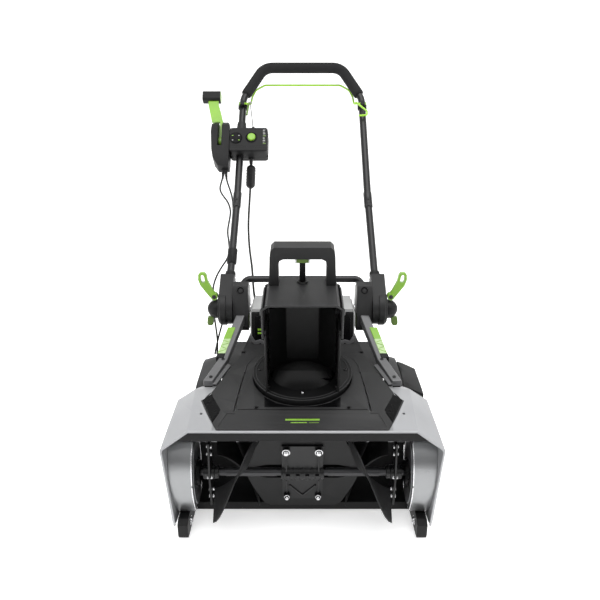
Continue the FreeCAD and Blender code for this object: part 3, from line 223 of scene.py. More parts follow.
def wrap(name, me, mat, body, bevel=0.0, segs=3, replaces=(), angle=35.0, smooth=True):
    o = bpy.data.objects.new(name, me)
    scene.collection.objects.link(o)
    if mat is not None:
        me.materials.clear()
        me.materials.append(mat)
    if smooth:
        me.polygons.foreach_set("use_smooth", [True] * len(me.polygons))
        me.set_sharp_from_angle(angle=math.radians(angle))
    if bevel > 0:
        b = o.modifiers.new("edge", "BEVEL")
        b.width = bevel
        b.segments = segs
        b.limit_method = "ANGLE"
        b.angle_limit = math.radians(angle)
        b.harden_normals = True
        b.miter_outer = "MITER_ARC"
        b.use_clamp_overlap = True
    if body:
        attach(o, body)
    if replaces:
        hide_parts(*replaces)
    return o


def extrude(name, pts, a, b, fn, mat, body, bevel=0.001, segs=3, **kw):
    """A polygon of (p, q) pairs run from a to b; fn(p, q, t) gives the point in the frame."""
    n = len(pts)
    verts = [fn(p, q, a) for p, q in pts] + [fn(p, q, b) for p, q in pts]
    faces = [list(range(n)), list(range(2 * n - 1, n - 1, -1))]
    faces += [[i, (i + 1) % n, n + (i + 1) % n, n + i] for i in range(n)]
    return obj_from(name, verts, faces, mat, body, bevel, segs, **kw)


def rounded_poly(pts, r, seg=5):
    """Corners of a polygon replaced with arcs of radius r (a number or one per corner)."""
    out = []
    n = len(pts)
    rs = r if isinstance(r, (list, tuple)) else [r] * n
    for i in range(n):
        p0, p1, p2 = Vector(pts[i - 1]), Vector(pts[i]), Vector(pts[(i + 1) % n])
        u, w = (p0 - p1), (p2 - p1)
        lu, lw = u.length, w.length
        u.normalize()
        w.normalize()
        ang = math.acos(max(-1, min(1, u.dot(w))))
        rr = rs[i]
        if rr <= 0 or abs(ang - math.pi) < 0.03:
            out.append(tuple(p1))
            continue
        cut = min(rr / math.tan(ang / 2), 0.48 * min(lu, lw))
        rr = cut * math.tan(ang / 2)
        bis = (u + w).normalized()
        cen = p1 + bis * (rr / math.sin(ang / 2))
        a0 = p1 + u * cut - cen
        a1 = p1 + w * cut - cen
        t0 = math.atan2(a0.y, a0.x)
        t1 = math.atan2(a1.y, a1.x)
        d = (t1 - t0 + math.pi) % (2 * math.pi) - math.pi
        for k in range(seg + 1):
            t = t0 + d * k / seg
            out.append((cen.x + rr * math.cos(t), cen.y + rr * math.sin(t)))
    return out


def rbox(name, lo, hi, fn, mat, body, bevel=0.002, segs=4, **kw):
    x0, y0, z0 = lo
    x1, y1, z1 = hi
    vs = [fn(x, y, z) for x in (x0, x1) for y in (y0, y1) for z in (z0, z1)]
    fs = [[0, 1, 3, 2], [4, 6, 7, 5], [0, 4, 5, 1], [2, 3, 7, 6], [0, 2, 6, 4], [1, 5, 7, 3]]
    return obj_from(name, vs, fs, mat, body, bevel, segs, **kw)


def lathe(name, prof, origin, axis, mat, body, seg=64, bevel=0.0, close=True, **kw):
    """Profile of (along, radius) in millimetres turned about an axis through origin."""
    ax = Vector(axis).normalized()
    ref = Vector((0, 0, 1)) if abs(ax.z) < 0.9 else Vector((1, 0, 0))
    u = ax.cross(ref).normalized()
    w = ax.cross(u)
    verts, faces, rings = [], [], []
    for a, r in prof:
        if r < 1e-6:
            rings.append([len(verts)])
            verts.append(origin + ax * a / 1000.0)
        else:
            rings.append(list(range(len(verts), len(verts) + seg)))
            for k in range(seg):
                t = 2 * math.pi * k / seg
                verts.append(origin + ax * a / 1000.0 + (u * math.cos(t) + w * math.sin(t)) * r / 1000.0)
    pairs = list(zip(rings, rings[1:]))
    if close and len(rings[0]) > 1 and len(rings[-1]) > 1:
        pairs.append((rings[-1], rings[0]))
    for r0, r1 in pairs:
        for k in range(seg):
            j = (k + 1) % seg
            if len(r0) == 1 and len(r1) == 1:
                continue
            if len(r0) == 1:
                faces.append([r0[0], r1[j], r1[k]])
            elif len(r1) == 1:
                faces.append([r0[k], r0[j], r1[0]])
            else:
                faces.append([r0[k], r0[j], r1[j], r1[k]])
    return obj_from(name, verts, faces, mat, body, bevel, **kw)


def mirror_x(v):
    return Vector((-v.x, v.y, v.z))


def path_of(points, order=3):
    """A smooth NURBS through a route's points, read back as a fine polyline."""
    cu = bpy.data.curves.new("route", "CURVE")
    cu.dimensions = "3D"
    cu.resolution_u = 10
    sp = cu.splines.new("NURBS")
    sp.points.add(len(points) - 1)
    for p, q in zip(sp.points, points):
        p.co = (*q, 1.0)
    sp.order_u = order
    sp.use_endpoint_u = True
    o = bpy.data.objects.new("route", cu)
    scene.collection.objects.link(o)
    bpy.context.view_layer.update()
    me = bpy.data.meshes.new_from_object(o.evaluated_get(bpy.context.evaluated_depsgraph_get()))
    pts = [v.co.copy() for v in me.vertices]
    bpy.data.objects.remove(o)
    bpy.data.curves.remove(cu)
    bpy.data.meshes.remove(me)
    return pts


def sweep_mesh(pts, radius, seg=16, caps=True):
    """A tube mesh round a polyline; radius is a number or a function of 0..1 along it."""
    n = len(pts)
    rings = []
    verts = []
    t0 = (pts[1] - pts[0]).normalized()
    ref = Vector((0, 0, 1)) if abs(t0.z) < 0.9 else Vector((1, 0, 0))
    u = t0.cross(ref).normalized()
    for i, p in enumerate(pts):
        t = (pts[min(i + 1, n - 1)] - pts[max(i - 1, 0)]).normalized()
        u = (u - t * u.dot(t)).normalized()
        w = t.cross(u)
        r = radius(i / (n - 1)) if callable(radius) else radius
        rings.append(range(len(verts), len(verts) + seg))
        for k in range(seg):
            a = 2 * math.pi * k / seg
            verts.append(p + (u * math.cos(a) + w * math.sin(a)) * r)
    faces = []
    for r0, r1 in zip(rings, rings[1:]):
        for k in range(seg):
            j = (k + 1) % seg
            faces.append([r0[k], r0[j], r1[j], r1[k]])
    if caps:
        faces.append(list(rings[0])[::-1])
        faces.append(list(rings[-1]))
    return verts, faces


def tube(name, pts, radius, mat, body, seg=20, **kw):
    v, f = sweep_mesh([Vector(p) for p in pts], radius, seg)
    return obj_from(name, v, f, mat, body, angle=50.0, **kw)


def arc_path(points, radii, step=8):
    """Straight runs joined by arcs, for bent steel tube and wire."""
    pts = [Vector(p) for p in points]
    out = [pts[0]]
    for k in range(1, len(pts) - 1):
        a, b, c = pts[k - 1], pts[k], pts[k + 1]
        u, w = (a - b), (c - b)
        lu, lw = u.length, w.length
        u.normalize()
        w.normalize()
        turn = math.pi - u.angle(w)
        r = radii[k - 1]
        cut = min(r * math.tan(turn / 2), 0.49 * min(lu, lw))
        r = cut / math.tan(turn / 2)
        bis = (u + w).normalized()
        cen = b + bis * (r / math.cos(turn / 2))
        s, e = b + u * cut - cen, b + w * cut - cen
        nrm = s.cross(e).normalized()
        ang = s.angle(e)
        m = max(3, int(step * turn / (math.pi / 2) * 2))
        for i in range(m + 1):
            out.append(cen + Matrix.Rotation(ang * i / m, 3, nrm) @ s)
    out.append(pts[-1])
    return out


def refine(node, mat, bevel=0.001, segs=3, angle=35.0, name=None, weld=2e-5, extra=None, cuts=()):
    """A finished copy of a CAD node's own mesh: welded, flats joined, edges rounded."""
    src = N[node]
    me = src.data.copy()
    bm = bmesh.new()
    bm.from_mesh(me)
    bmesh.ops.remove_doubles(bm, verts=bm.verts, dist=weld)
    bmesh.ops.dissolve_limit(bm, angle_limit=math.radians(1.2), verts=bm.verts, edges=bm.edges)
    bmesh.ops.recalc_face_normals(bm, faces=bm.faces)
    if extra:
        extra(bm)
    bm.to_mesh(me)
    bm.free()
    for a in ("custom_normal",):
        if a in me.attributes:
            me.attributes.remove(me.attributes[a])
    body = src["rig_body"]
    mats = mat if isinstance(mat, (list, tuple)) else [mat]
    o = wrap(name or ("fin_" + node), me, mats[0], body, bevel, segs, (node,), angle)
    for m in mats[1:]:
        me.materials.append(m)
    if cuts:
        apply_cuts(o, cuts)
    return o


def paint(o, rule):
    """Material index per face: rule(centre, normal) in the frame."""
    for p in o.data.polygons:
        p.material_index = rule(p.center, p.normal)


def cutter(o, tool, op="DIFFERENCE"):
    """Boolean modifier before the bevel; the tool stays hidden and rides nothing."""
    m = o.modifiers.new("cut", "BOOLEAN")
    m.object = tool
    m.operation = op
    m.solver = "EXACT"
    return m


def apply_cuts(o, tools, op="DIFFERENCE"):
    """Cut shapes out of a piece for good, then drop the tools."""
    mods = list(o.modifiers)
    for m in mods:
        m.show_viewport = False
    made = []
    for t in tools:
        made.append(cutter(o, t, op))
    bpy.context.view_layer.update()
    dg = bpy.context.evaluated_depsgraph_get()
    me = bpy.data.meshes.new_from_object(o.evaluated_get(dg))
    for m in made:
        o.modifiers.remove(m)
    old = o.data
    mats = list(old.materials)
    o.data = me
    me.materials.clear()
    for m in mats:
        me.materials.append(m)
    for m in o.modifiers:
        m.show_viewport = True
    me.polygons.foreach_set("use_smooth", [True] * len(me.polygons))
    me.set_sharp_from_angle(angle=math.radians(35))
    for t in tools:
        bpy.data.objects.remove(t)
    return o


def tool_extrude(pts, a, b, fn):
    o = extrude("tool", pts, a, b, fn, None, None, bevel=0.0)
    return o


def tool_lathe(prof, origin, axis, seg=32):
    return lathe("tool", prof, origin, axis, None, None, seg=seg)


def cap_screw(name, at, out, r, mat, body, recess="hex", h=3.0, washer=False, slot="bright_steel"):
    """A screw head with a crowned top, a socket and, if asked, a washer."""
    seg = 32
    prof = []
    if washer:
        prof += [(0.0, 0.0), (0.0, r * 1.45), (0.9, r * 1.5), (1.1, r * 1.42), (1.1, r)]
        z0 = 1.1
    else:
        prof += [(0.0, 0.0), (0.0, r)]
        z0 = 0.0
    prof += [(z0 + h * 0.55, r * 0.99), (z0 + h * 0.85, r * 0.86), (z0 + h, r * 0.62), (z0 + h, r * 0.48),
             (z0 + h * 0.35, r * 0.44), (z0 + h * 0.3, 0.0)]
    return lathe(name, prof, at, out, mat, body, seg=6 if recess == "hexhead" else seg, slot=slot, angle=40)


# ------------------------------------------------------------------ cords first
def cable(name, pts, dia, node, exit_, end, mat=cable_m):
    path = path_of([M(*p) for p in pts])
    v, f = sweep_mesh(path, dia / 2, 14)
    o = obj_from(name, v, f, mat, None, angle=60)
    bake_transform(o)
    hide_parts(node)
    return o, path


POWER = [(-154.3, 714.9, 780.8), (-154.3, 713.5, 768), (-155.4, 711, 744), (-156.8, 706, 718), (-158.2, 696, 690), (-159.8, 681, 660),
         (-161.4, 662, 628), (-161.8, 638, 594), (-158.9, 610, 560), (-153.9, 580, 528), (-147, 550, 500), (-142.7, 520, 474),
         (-139.8, 494, 452), (-135, 470, 428), (-131, 463.4, 412)]
CABLE_A = [(-234, 680.8, 752.3), (-233.5, 674.5, 741), (-239.6, 668.9, 723.9), (-245.6, 659.6, 702), (-235.8, 648.2, 685.6), (-218.3, 634.8, 668.1),
           (-209.2, 616.5, 644.3), (-213.3, 597, 619), (-217.4, 577.4, 593.6), (-212, 558.5, 569.1), (-208.6, 541, 544.7),
           (-214.4, 524.2, 526.1), (-227.2, 509, 510), (-240.5, 492, 490), (-250.2, 478, 465), (-251.7, 468, 440), (-250.5, 460, 412),
           (-248.5, 450, 384), (-243.8, 438, 356), (-238.5, 422, 328), (-236.4, 404, 302), (-236.9, 394, 289)]
CABLE_B = [(-227, 680.8, 752.5), (-226.7, 673.3, 739.4), (-222.3, 665, 720.5), (-213, 654.4, 698.5), (-205.7, 640.9, 676), (-202.4, 616.5, 644.3),
           (-202.3, 597, 619), (-202.8, 577.4, 593.6), (-203.6, 558.5, 569.1), (-204, 540.2, 545.3), (-205.4, 525.8, 524.9),
           (-209.1, 511, 495.9), (-213.1, 498.7, 470), (-218, 487, 441), (-221.5, 476, 412), (-221.5, 466, 386), (-225.8, 456, 362),
           (-233.5, 442, 336), (-239.7, 424, 312), (-242.7, 405, 296), (-243, 396, 289)]
ferr = refine("cable_ferrite", cable_m, bevel=0.003, segs=4)
fd = (M(*POWER[3]) - M(*POWER[2])).normalized()
fc = (M(*POWER[2]) + M(*POWER[3])) / 2
power, path_p = cable("power_cord", POWER, 0.0064, "power_cable", None, None)
cab_a, path_a = cable("chute_cord_a", CABLE_A, 0.005, "chute_cable_a", None, None)
cab_b, path_b = cable("chute_cord_b", CABLE_B, 0.005, "chute_cable_b", None, None)

# ------------------------------------------------------------------ plain finishes for every CAD node
FIN = {
    "side_plate_left": (silver, 0.0008), "side_plate_right": (silver, 0.0008), "auger_housing": (silver_in, 0.0005),
    "lower_liner": (black, 0.0005), "front_lip": (black, 0.001), "scraper_blade": (steel_black, 0.001), "side_bosses": (silver_in, 0.0015),
    "skid_shoes": (black, 0.0025), "skid_bolts": (steel, 0.0008),
    "auger_shaft": (shaft_grey, 0.0005), "auger_bearings": (black, 0.001), "centre_bracket": (steel_black, 0.001), "centre_paddles": (rubber, 0.0015),
    "auger_bolts": (steel_black, 0.001), "auger_arms": (steel_black, 0.001), "helical_paddles": (rubber, 0.001),
    "drive_motor": (alu, 0.001), "motor_shaft": (steel, 0.0003), "drive_belt": (rubber, 0.0005), "motor_controller": (board, 0.001),
    "chassis_tub": (black, 0.003), "belt_cover": (black, 0.003), "rear_fenders": (charcoal, 0.0015), 
    "wheel_axle": (steel, 0.0008), "headlight_lenses": (black_gloss, 0.0008), "chute_ring": (black, 0.001),
    "chute": (black, 0.0008), "deflector_hood": (charcoal, 0.0010), "deflector_pins": (steel_black, 0.001), "deflector_handle": (dark, 0.0035),
    "deflector_trigger": ([black, green_dark], 0.001), "battery_bay": (black, 0.003), "battery_door": (grey, 0.003), "door_hinge_pin": (steel, 0.0003),
    "battery_pack": (black, 0.004), "struts": (strut_grey, 0.0025), "crossbar": (steel_black, 0.0),
    "knuckle_plates": (charcoal, 0.003), "fold_bolts": (steel, 0.001), "handle_tube": (steel_black, 0.0), "foam_grip": (foam, 0.002),
    "handle_sockets": (dark, 0.004), "cam_lever_left": (green, 0.002), "cam_lever_right": (green, 0.002),
    "bail_wire": (wire_green, 0.0), "bail_brackets": (black, 0.001), "control_box_front": (black, 0.004), "control_box_rear": (black, 0.004),
    "start_button": (green, 0.0015), "chute_control_housing": (black, 0.004), "chute_lever": ([green, black], 0.003),
}
FINISHED = {}
for node, (mt, bv) in FIN.items():
    FINISHED[node] = refine(node, mt, bevel=bv)


def hs(c):
    """Distance up the handle from the fold pivot, millimetres."""
    return -((c.y - LIP) * 1000 - 420) * math.sin(LEAN) + (c.z * 1000 - 417) * math.cos(LEAN)


paint(FINISHED["chute_lever"], lambda c, n: 1 if (hs(c) > 650 and n.x < 0.7) else 0)
paint(FINISHED["deflector_trigger"], lambda c, n: 1 if (c.z > C(0, 22, 279.6).z) else 0)

# ------------------------------------------------------------------ shroud: shadow gaps, ring pocket in painted shade, stripe
SHR = [(2.0, 184.0, 294.0, 187.0, 291.0), (21.0, 176.0, 300.0, 196.6, 293.9), (54.0, 180.0, 309.5, 213.0, 299.0),
       (105.0, 205.0, 316.7, 235.0, 306.8), (121.0, 212.6, 318.9, 214.5, 310.0), (200.0, 184.0, 330.0, 187.0, 312.0),
       (278.0, 157.0, 340.9, 161.0, 312.0), (343.0, 150.0, 348.0, 155.0, 312.0), (468.0, 146.0, 330.0, 152.0, 300.0)]


def shroud_z(x, y):
    x, y = abs(x), max(2.0, min(468.0, y))
    for a, b in zip(SHR, SHR[1:]):
        if a[0] <= y <= b[0]:
            t = (y - a[0]) / (b[0] - a[0])
            _, xi, zt, xo, zo = [p + (q - p) * t for p, q in zip(a, b)]
            break
    return zt if x <= xi else (zo if x >= xo else zt + (zo - zt) * (x - xi) / (xo - xi))


def on_shroud(path, step=8.0):
    out = []
    for (x0, y0), (x1, y1) in zip(path, path[1:]):
        n = max(1, int(math.hypot(x1 - x0, y1 - y0) / step))
        out += [(x0 + (x1 - x0) * k / n, y0 + (y1 - y0) * k / n) for k in range(n)]
    return out + [path[-1]]


def ribbon_tool(path, half, depth, up=6.0):
    """A thin cutting strip that follows the shroud's top."""
    pts = [Vector(p) for p in on_shroud(path)]
    verts, faces = [], []
    n = len(pts)
    for i, p in enumerate(pts):
        d = (pts[min(i + 1, n - 1)] - pts[max(i - 1, 0)]).normalized()
        h = half(i / (n - 1)) if callable(half) else half
        s = Vector((-d.y, d.x)) * h
        z = shroud_z(p.x, p.y)
        for q, zz in ((p + s, z - depth), (p - s, z - depth), (p - s, z + up), (p + s, z + up)):
            verts.append(M(q.x, q.y, zz))
    for i in range(n - 1):
        a, b = 4 * i, 4 * i + 4
        for k in range(4):
            j = (k + 1) % 4
            faces.append([a + k, a + j, b + j, b + k])
    faces += [[0, 1, 2, 3], [4 * n - 1, 4 * n - 2, 4 * n - 3, 4 * n - 4]]
    return obj_from("tool", verts, faces, None, None)


groove = [(-152.4, 53.0), (-149.7, 100.7), (-146.2, 150.6), (-141.5, 200.9)]
ridge = [(-141.5, 200.9), (-139.7, 229.6), (-132.7, 251.8), (-122.5, 267.6), (-111.7, 277.7), (-96, 288)]
tools = []
for sg in (1, -1):
    fl_ = [(sg * x, y) for x, y in groove]
    tools.append(ribbon_tool(fl_, lambda t: 2.4 - 1.7 * t, 4.0))
    tools.append(ribbon_tool([(sg * -170.0, 45.8), (sg * -150.5, 45.8)], 0.6, 1.2))
    tools.append(ribbon_tool([(sg * -168.5, 45.8), (sg * -183.1, 11.0)], 0.6, 1.2))
    tools.append(ribbon_tool([(sg * -214.0, 150.0), (sg * -192.0, 208.0), (sg * -168.0, 268.0)], 0.5, 1.0))
tools.append(ribbon_tool([(-146.0, 58.4), (146.0, 58.4)], 1.2, 3.5))
shroud = refine("top_shroud", [charcoal, black_gloss], bevel=0.0013, name="shroud", cuts=tools)
# faces sunk below the top in the ring's recess take black gloss, darker than the charcoal: painted shade in the recess
paint(shroud, lambda c, n: 1 if (abs(c.x) < 0.088 and M(0, 66, 0).y < c.y < M(0, 120, 0).y and c.z < shroud_z(c.x * 1000, (c.y - LIP) * 1000) / 1000 - 0.002) else 0)
for sg in (1, -1):
    rp = on_shroud([(sg * x, y) for x, y in ridge], 5.0)
    tube("shroud_ridge_%s" % ("l" if sg > 0 else "r"), [M(x, y, shroud_z(x, y) - 0.2) for x, y in rp], lambda t: 0.0022 - 0.0016 * t, charcoal, "chassis", seg=12)
    # edge bead along the sloping flank
    ep = on_shroud([(sg * -233.0, 106.0), (sg * -213.0, 150.0), (sg * -186.5, 200.0), (sg * -160.5, 278.0), (sg * -154.5, 340.0)], 6.0)
    tube("shroud_edge_%s" % ("l" if sg > 0 else "r"), [M(x * 0.985, y, shroud_z(x * 0.985, y) - 1.0) for x, y in ep], 0.0016, charcoal, "chassis", seg=12)
# a black gloss sheet over the recess under the front of the ring: painted shade
pk = [(-86, 67.5), (86, 67.5), (88, 104), (60, 82), (30, 72), (0, 69.2), (-30, 72), (-60, 82), (-88, 104)]
vs, n_ = [], len(pk)
for x, y in pk:
    vs.append(M(x, y, shroud_z(x, y) + 0.35))
for x, y in pk:
    vs.append(M(x, y, shroud_z(x, y) - 3.0))
obj_from("ring_pocket_painted_shade", vs, [list(range(n_)), list(range(2 * n_ - 1, n_ - 1, -1))] + [[i, (i + 1) % n_, n_ + (i + 1) % n_, n_ + i] for i in range(n_)],
         black_gloss, "chassis", bevel=0.0003)


def stripe(name, x0, x1, y0, y1, mat, lift=0.25):
    """A thin raised marking that lies on the shroud's front slope."""
    vs_ = []
    n = 8
    for k in range(n + 1):
        x = x0 + (x1 - x0) * k / n
        for y in (y0, y1):
            vs_.append(M(x, y, shroud_z(x, y) + lift))
    fs_ = [[2 * k, 2 * k + 2, 2 * k + 3, 2 * k + 1] for k in range(n)]
    o = obj_from(name, vs_, fs_, mat, "chassis")
    sol = o.modifiers.new("thick", "SOLIDIFY")
    sol.thickness = 0.0003
    return o


stripe("front_stripe_long", -38, 38, 26.5, 31.5, green)
stripe("front_stripe_short", -26, 10, 19.5, 22.0, green)
stripe("front_stripe_tail", 14, 36, 19.5, 22.0, green_dark)
for sg in (1, -1):
    for hx, hy in ((104, 66), (104, 205), (152, 292)):
        z = shroud_z(hx, hy)
        # black wells round the screws, darker than the charcoal shroud: painted shade in the holes
        lathe("screw_well_%d_%d" % (sg * hx, hy), [(-9.0, 0), (-9.0, 4.2), (-3.0, 4.2), (-0.6, 4.5), (0.25, 5.6), (0.25, 6.3), (-0.4, 6.3), (-10.0, 4.6), (-10.0, 0)],
              M(sg * hx, hy, z), (0, -0.14, 1), black, "chassis", seg=32, close=False)
        cap_screw("shroud_screw_%d_%d" % (sg * hx, hy), M(sg * hx, hy, z - 9.0), (0, -0.14, 1), 3.4, steel_black, "chassis", h=2.2)

# ------------------------------------------------------------------ headlights: lamp rings with lens covers over them
for sg in (1, -1):
    q = [Vector(p) for p in ((-184.5, 60.0, 308.6), (-210.0, 111.0, 316.0), (-226.5, 101.0, 308.3), (-199.5, 34.0, 297.6))]
    cen = sum(q, Vector()) / 4
    nr = (q[1] - q[0]).cross(q[3] - q[0]).normalized()
    nr = nr if nr.z > 0 else -nr
    ax = (q[1] - q[0]).normalized()
    tilt = 1.25
    vs_ = [M(sg * (v + nr * tilt + (v - cen).normalized() * 2.5).x, (v + nr * tilt + (v - cen).normalized() * 2.5).y, (v + nr * tilt + (v - cen).normalized() * 2.5).z) for v in q]
    vs_ += [M(sg * (v - nr * 2.0).x, (v - nr * 2.0).y, (v - nr * 2.0).z) for v in q]
    obj_from("lens_cover_%s" % ("l" if sg > 0 else "r"), vs_, [[0, 1, 2, 3], [7, 6, 5, 4]] + [[i, (i + 1) % 4, 4 + (i + 1) % 4, 4 + i] for i in range(4)], black_gloss, "chassis", bevel=0.0009)
    for k, f in enumerate((-22, 0, 22)):
        c = cen + ax * f + nr * 1.1
        lathe("lamp_ring_%s_%d" % ("l" if sg > 0 else "r", k), [(0, 0), (0, 5.0), (0.25, 5.6), (0.5, 5.0), (0.35, 4.2), (0.2, 0)],
              M(sg * c.x, c.y, c.z), (sg * nr.x, nr.y, nr.z), black_gloss, "chassis", seg=24, close=False)

# ------------------------------------------------------------------ rolled front edge of the intake
edge = [M(-294.6, 1.2, 40), M(-311.4, 1.2, 241.5), M(-249.2, 1.2, 289.0), M(249.2, 1.2, 289.0), M(311.4, 1.2, 241.5), M(294.6, 1.2, 40)]
tube("intake_rolled_edge", arc_path(edge, [0.014, 0.007, 0.007, 0.014]), 0.0027, silver, "chassis", seg=16)
for sg in (1, -1):
    for y, z in ((196, 120), (196, 300)):
        cap_screw("plate_screw_%d_%d" % (sg, z), M(sg * 309.0 if z < 200 else sg * 300.5, y - 8, z if z < 200 else 255), (sg, 0, 0), 5.0, steel, "chassis", h=2.4)

# ------------------------------------------------------------------ side drums: bright steel rim beads as painted highlights, inner disc, ribbed bearing hub
for sg in (1, -1):
    s_ = "r" if sg > 0 else "l"
    pts = []
    for k in range(0, 97):
        a = math.radians(-50 + 280 * k / 96.0 - 90 + 90)
        y, z = 74 + 62.5 * math.cos(a), 137 + 104.5 * math.sin(a)
        if z > 53 and y > 9:
            pts.append((y, z))
    pts = sorted(set(pts), key=lambda p: math.atan2((p[1] - 137) / 104.5, (p[0] - 74) / 62.5))
    # bright steel beads along the painted drum rims: painted highlight on the rim edge
    tube("drum_rim_highlight_" + s_, [M(sg * 250.6, y, z) for y, z in pts], 0.0019, steel, "chassis", seg=12)
    ring = []
    for k in range(64):
        a = 2 * math.pi * k / 64
        ring.append((72 + 49 * math.cos(a), 137 + 84 * math.sin(a)))
    extrude("drum_disc_" + s_, ring, 250.2, 247.6, lambda p, q, t, sg=sg: M(sg * t, p, q), silver_in, "chassis", bevel=0.0012)
    lathe("bearing_cup_" + s_, [(0, 19.0), (0, 30.0), (2.0, 31.0), (5.0, 29.0), (8.0, 27.0), (9.0, 24.5), (9.0, 19.0)], M(sg * 247.4, 70, 137), (-sg, 0, 0), black, "chassis", seg=48, bevel=0.0006)
    for k in range(12):
        a = 2 * math.pi * k / 12
        cy, cz = math.cos(a), math.sin(a)
        c0 = Vector((0, cy, cz))
        t0 = Vector((0, -cz, cy))
        vsr = []
        for r in (18.5, 34.0):
            for d in (-1.3, 1.3):
                for xx in (247.2, 237.5 if r < 30 else 244.0):
                    p = c0 * r + t0 * d
                    vsr.append(M(sg * xx, 70 + p.y, 137 + p.z))
        obj_from("bearing_rib_%s_%02d" % (s_, k), vsr, [[0, 1, 3, 2], [4, 6, 7, 5], [0, 4, 5, 1], [2, 3, 7, 6], [0, 2, 6, 4], [1, 5, 7, 3]], black, "chassis", bevel=0.0005)

# ------------------------------------------------------------------ auger centre: ribs, clamp rings, domed nuts
TURN = math.radians(10.0)


def A(x, d, b):
    """Auger frame at rest: d across the centre plate (front negative), b along it."""
    return M(x, 70 + d * math.cos(TURN) - b * math.sin(TURN), 137 + d * math.sin(TURN) + b * math.cos(TURN))


front = (0, -math.cos(TURN), -math.sin(TURN))
for sx in (-37.5, 37.5):
    for b in (-72, 72):
        k = 1.0 if b > 0 else 0.72
        lathe("paddle_nut_%d_%d" % (sx, b), [(0, 0), (0, 9.0 * k), (0.9, 9.2 * k), (1.2, 7.8 * k), (3.8, 7.4 * k), (6.4, 5.6 * k), (7.9, 2.9 * k), (8.3, 0)], A(sx, -12.2, b), front, steel, "auger", seg=40)
    for sgn in (-1, 1):
        vs_ = [A(sx + dx, d, sgn * b) for dx in (-1.6, 1.6) for d, b in ((-5.0, 14), (-15.0, 14), (-9.5, 60), (-5.0, 62))]
        obj_from("bracket_rib_%d_%d" % (sx, sgn), vs_, [[0, 1, 2, 3], [7, 6, 5, 4], [0, 4, 5, 1], [1, 5, 6, 2], [2, 6, 7, 3], [3, 7, 4, 0]], steel_black, "auger", bevel=0.0006)
tube("bracket_v_rib", arc_path([A(-31, -6.0, -38), A(0, -6.0, -72), A(31, -6.0, -38)], [0.004]), 0.0021, steel_black, "auger", seg=12)
for x in (-46, -22, 0, 22, 46):
    lathe("clamp_ring_%d" % x, [(-2.2, 12.0), (-2.2, 18.2), (2.2, 18.2), (2.2, 12.0)], A(x, 0, 0), (1, 0, 0), steel_black, "auger", seg=48, bevel=0.0006)
for x in (-34, -11, 11, 34):
    rbox("clamp_lug_%d" % x, (x - 4.5, -21.0, -7.0), (x + 4.5, -12.0, 7.0), A, steel_black, "auger", bevel=0.0012)
for sg in (1, -1):
    # arm bolts
    for k, (y, z) in enumerate(((70, 205), (66, 188), (70, 69), (74, 86), (84, 142), (56, 132))):
        lathe("arm_bolt_%d_%d" % (sg, k), [(0, 0), (0, 5.6), (1.0, 5.8), (1.2, 4.6), (3.2, 4.3), (4.6, 2.6), (5.0, 0)], M(sg * 214.0, y, z), (-sg, 0, 0), steel, "auger", seg=28)
        lathe("arm_nut_%d_%d" % (sg, k), [(0, 0), (0, 5.4), (0.9, 5.4), (1.0, 4.6), (4.0, 4.6), (4.4, 3.4), (4.4, 0)], M(sg * 219.0, y, z), (sg, 0, 0), steel, "auger", seg=6, angle=20)
    # end collars on the shaft
    lathe("shaft_collar_%d" % sg, [(0, 9.0), (0, 14.5), (1.0, 15.5), (9.0, 15.5), (10.0, 14.5), (10.0, 9.0)], M(sg * 206, 70, 137), (-sg, 0, 0), steel_black, "auger", seg=40)
    lathe("shaft_sleeve_%d" % sg, [(0, 9.0), (0, 10.4), (120, 10.4), (120, 9.0)], M(sg * 60, 70, 137), (sg, 0, 0), shaft_grey, "auger", seg=40, bevel=0.0004)

# ------------------------------------------------------------------ skid shoes: wear ribs and bolt washers
for sg in (1, -1):
    for y in (34.0, 88.0):
        lathe("skid_washer_%d_%d" % (sg, y), [(0, 4.5), (0, 11.0), (1.4, 11.0), (1.6, 10.2), (1.6, 4.5)], M(sg * 264.4, y, 27), (-sg, 0, 0), steel, "chassis", seg=36)
        lathe("skid_nut_%d_%d" % (sg, y), [(0, 0), (0, 9.0), (1.6, 9.0), (2.0, 8.0), (5.2, 7.0), (6.2, 4.0), (6.4, 0)], M(sg * 262.6, y, 27), (-sg, 0, 0), steel, "chassis", seg=6, angle=20)
    for k, z in enumerate((14, 40)):
        rbox("skid_rib_%d_%d" % (sg, k), (sg * 288.2, 20, z - 1.2), (sg * 290.2, 112, z + 1.2), M, black, "chassis", bevel=0.0007)

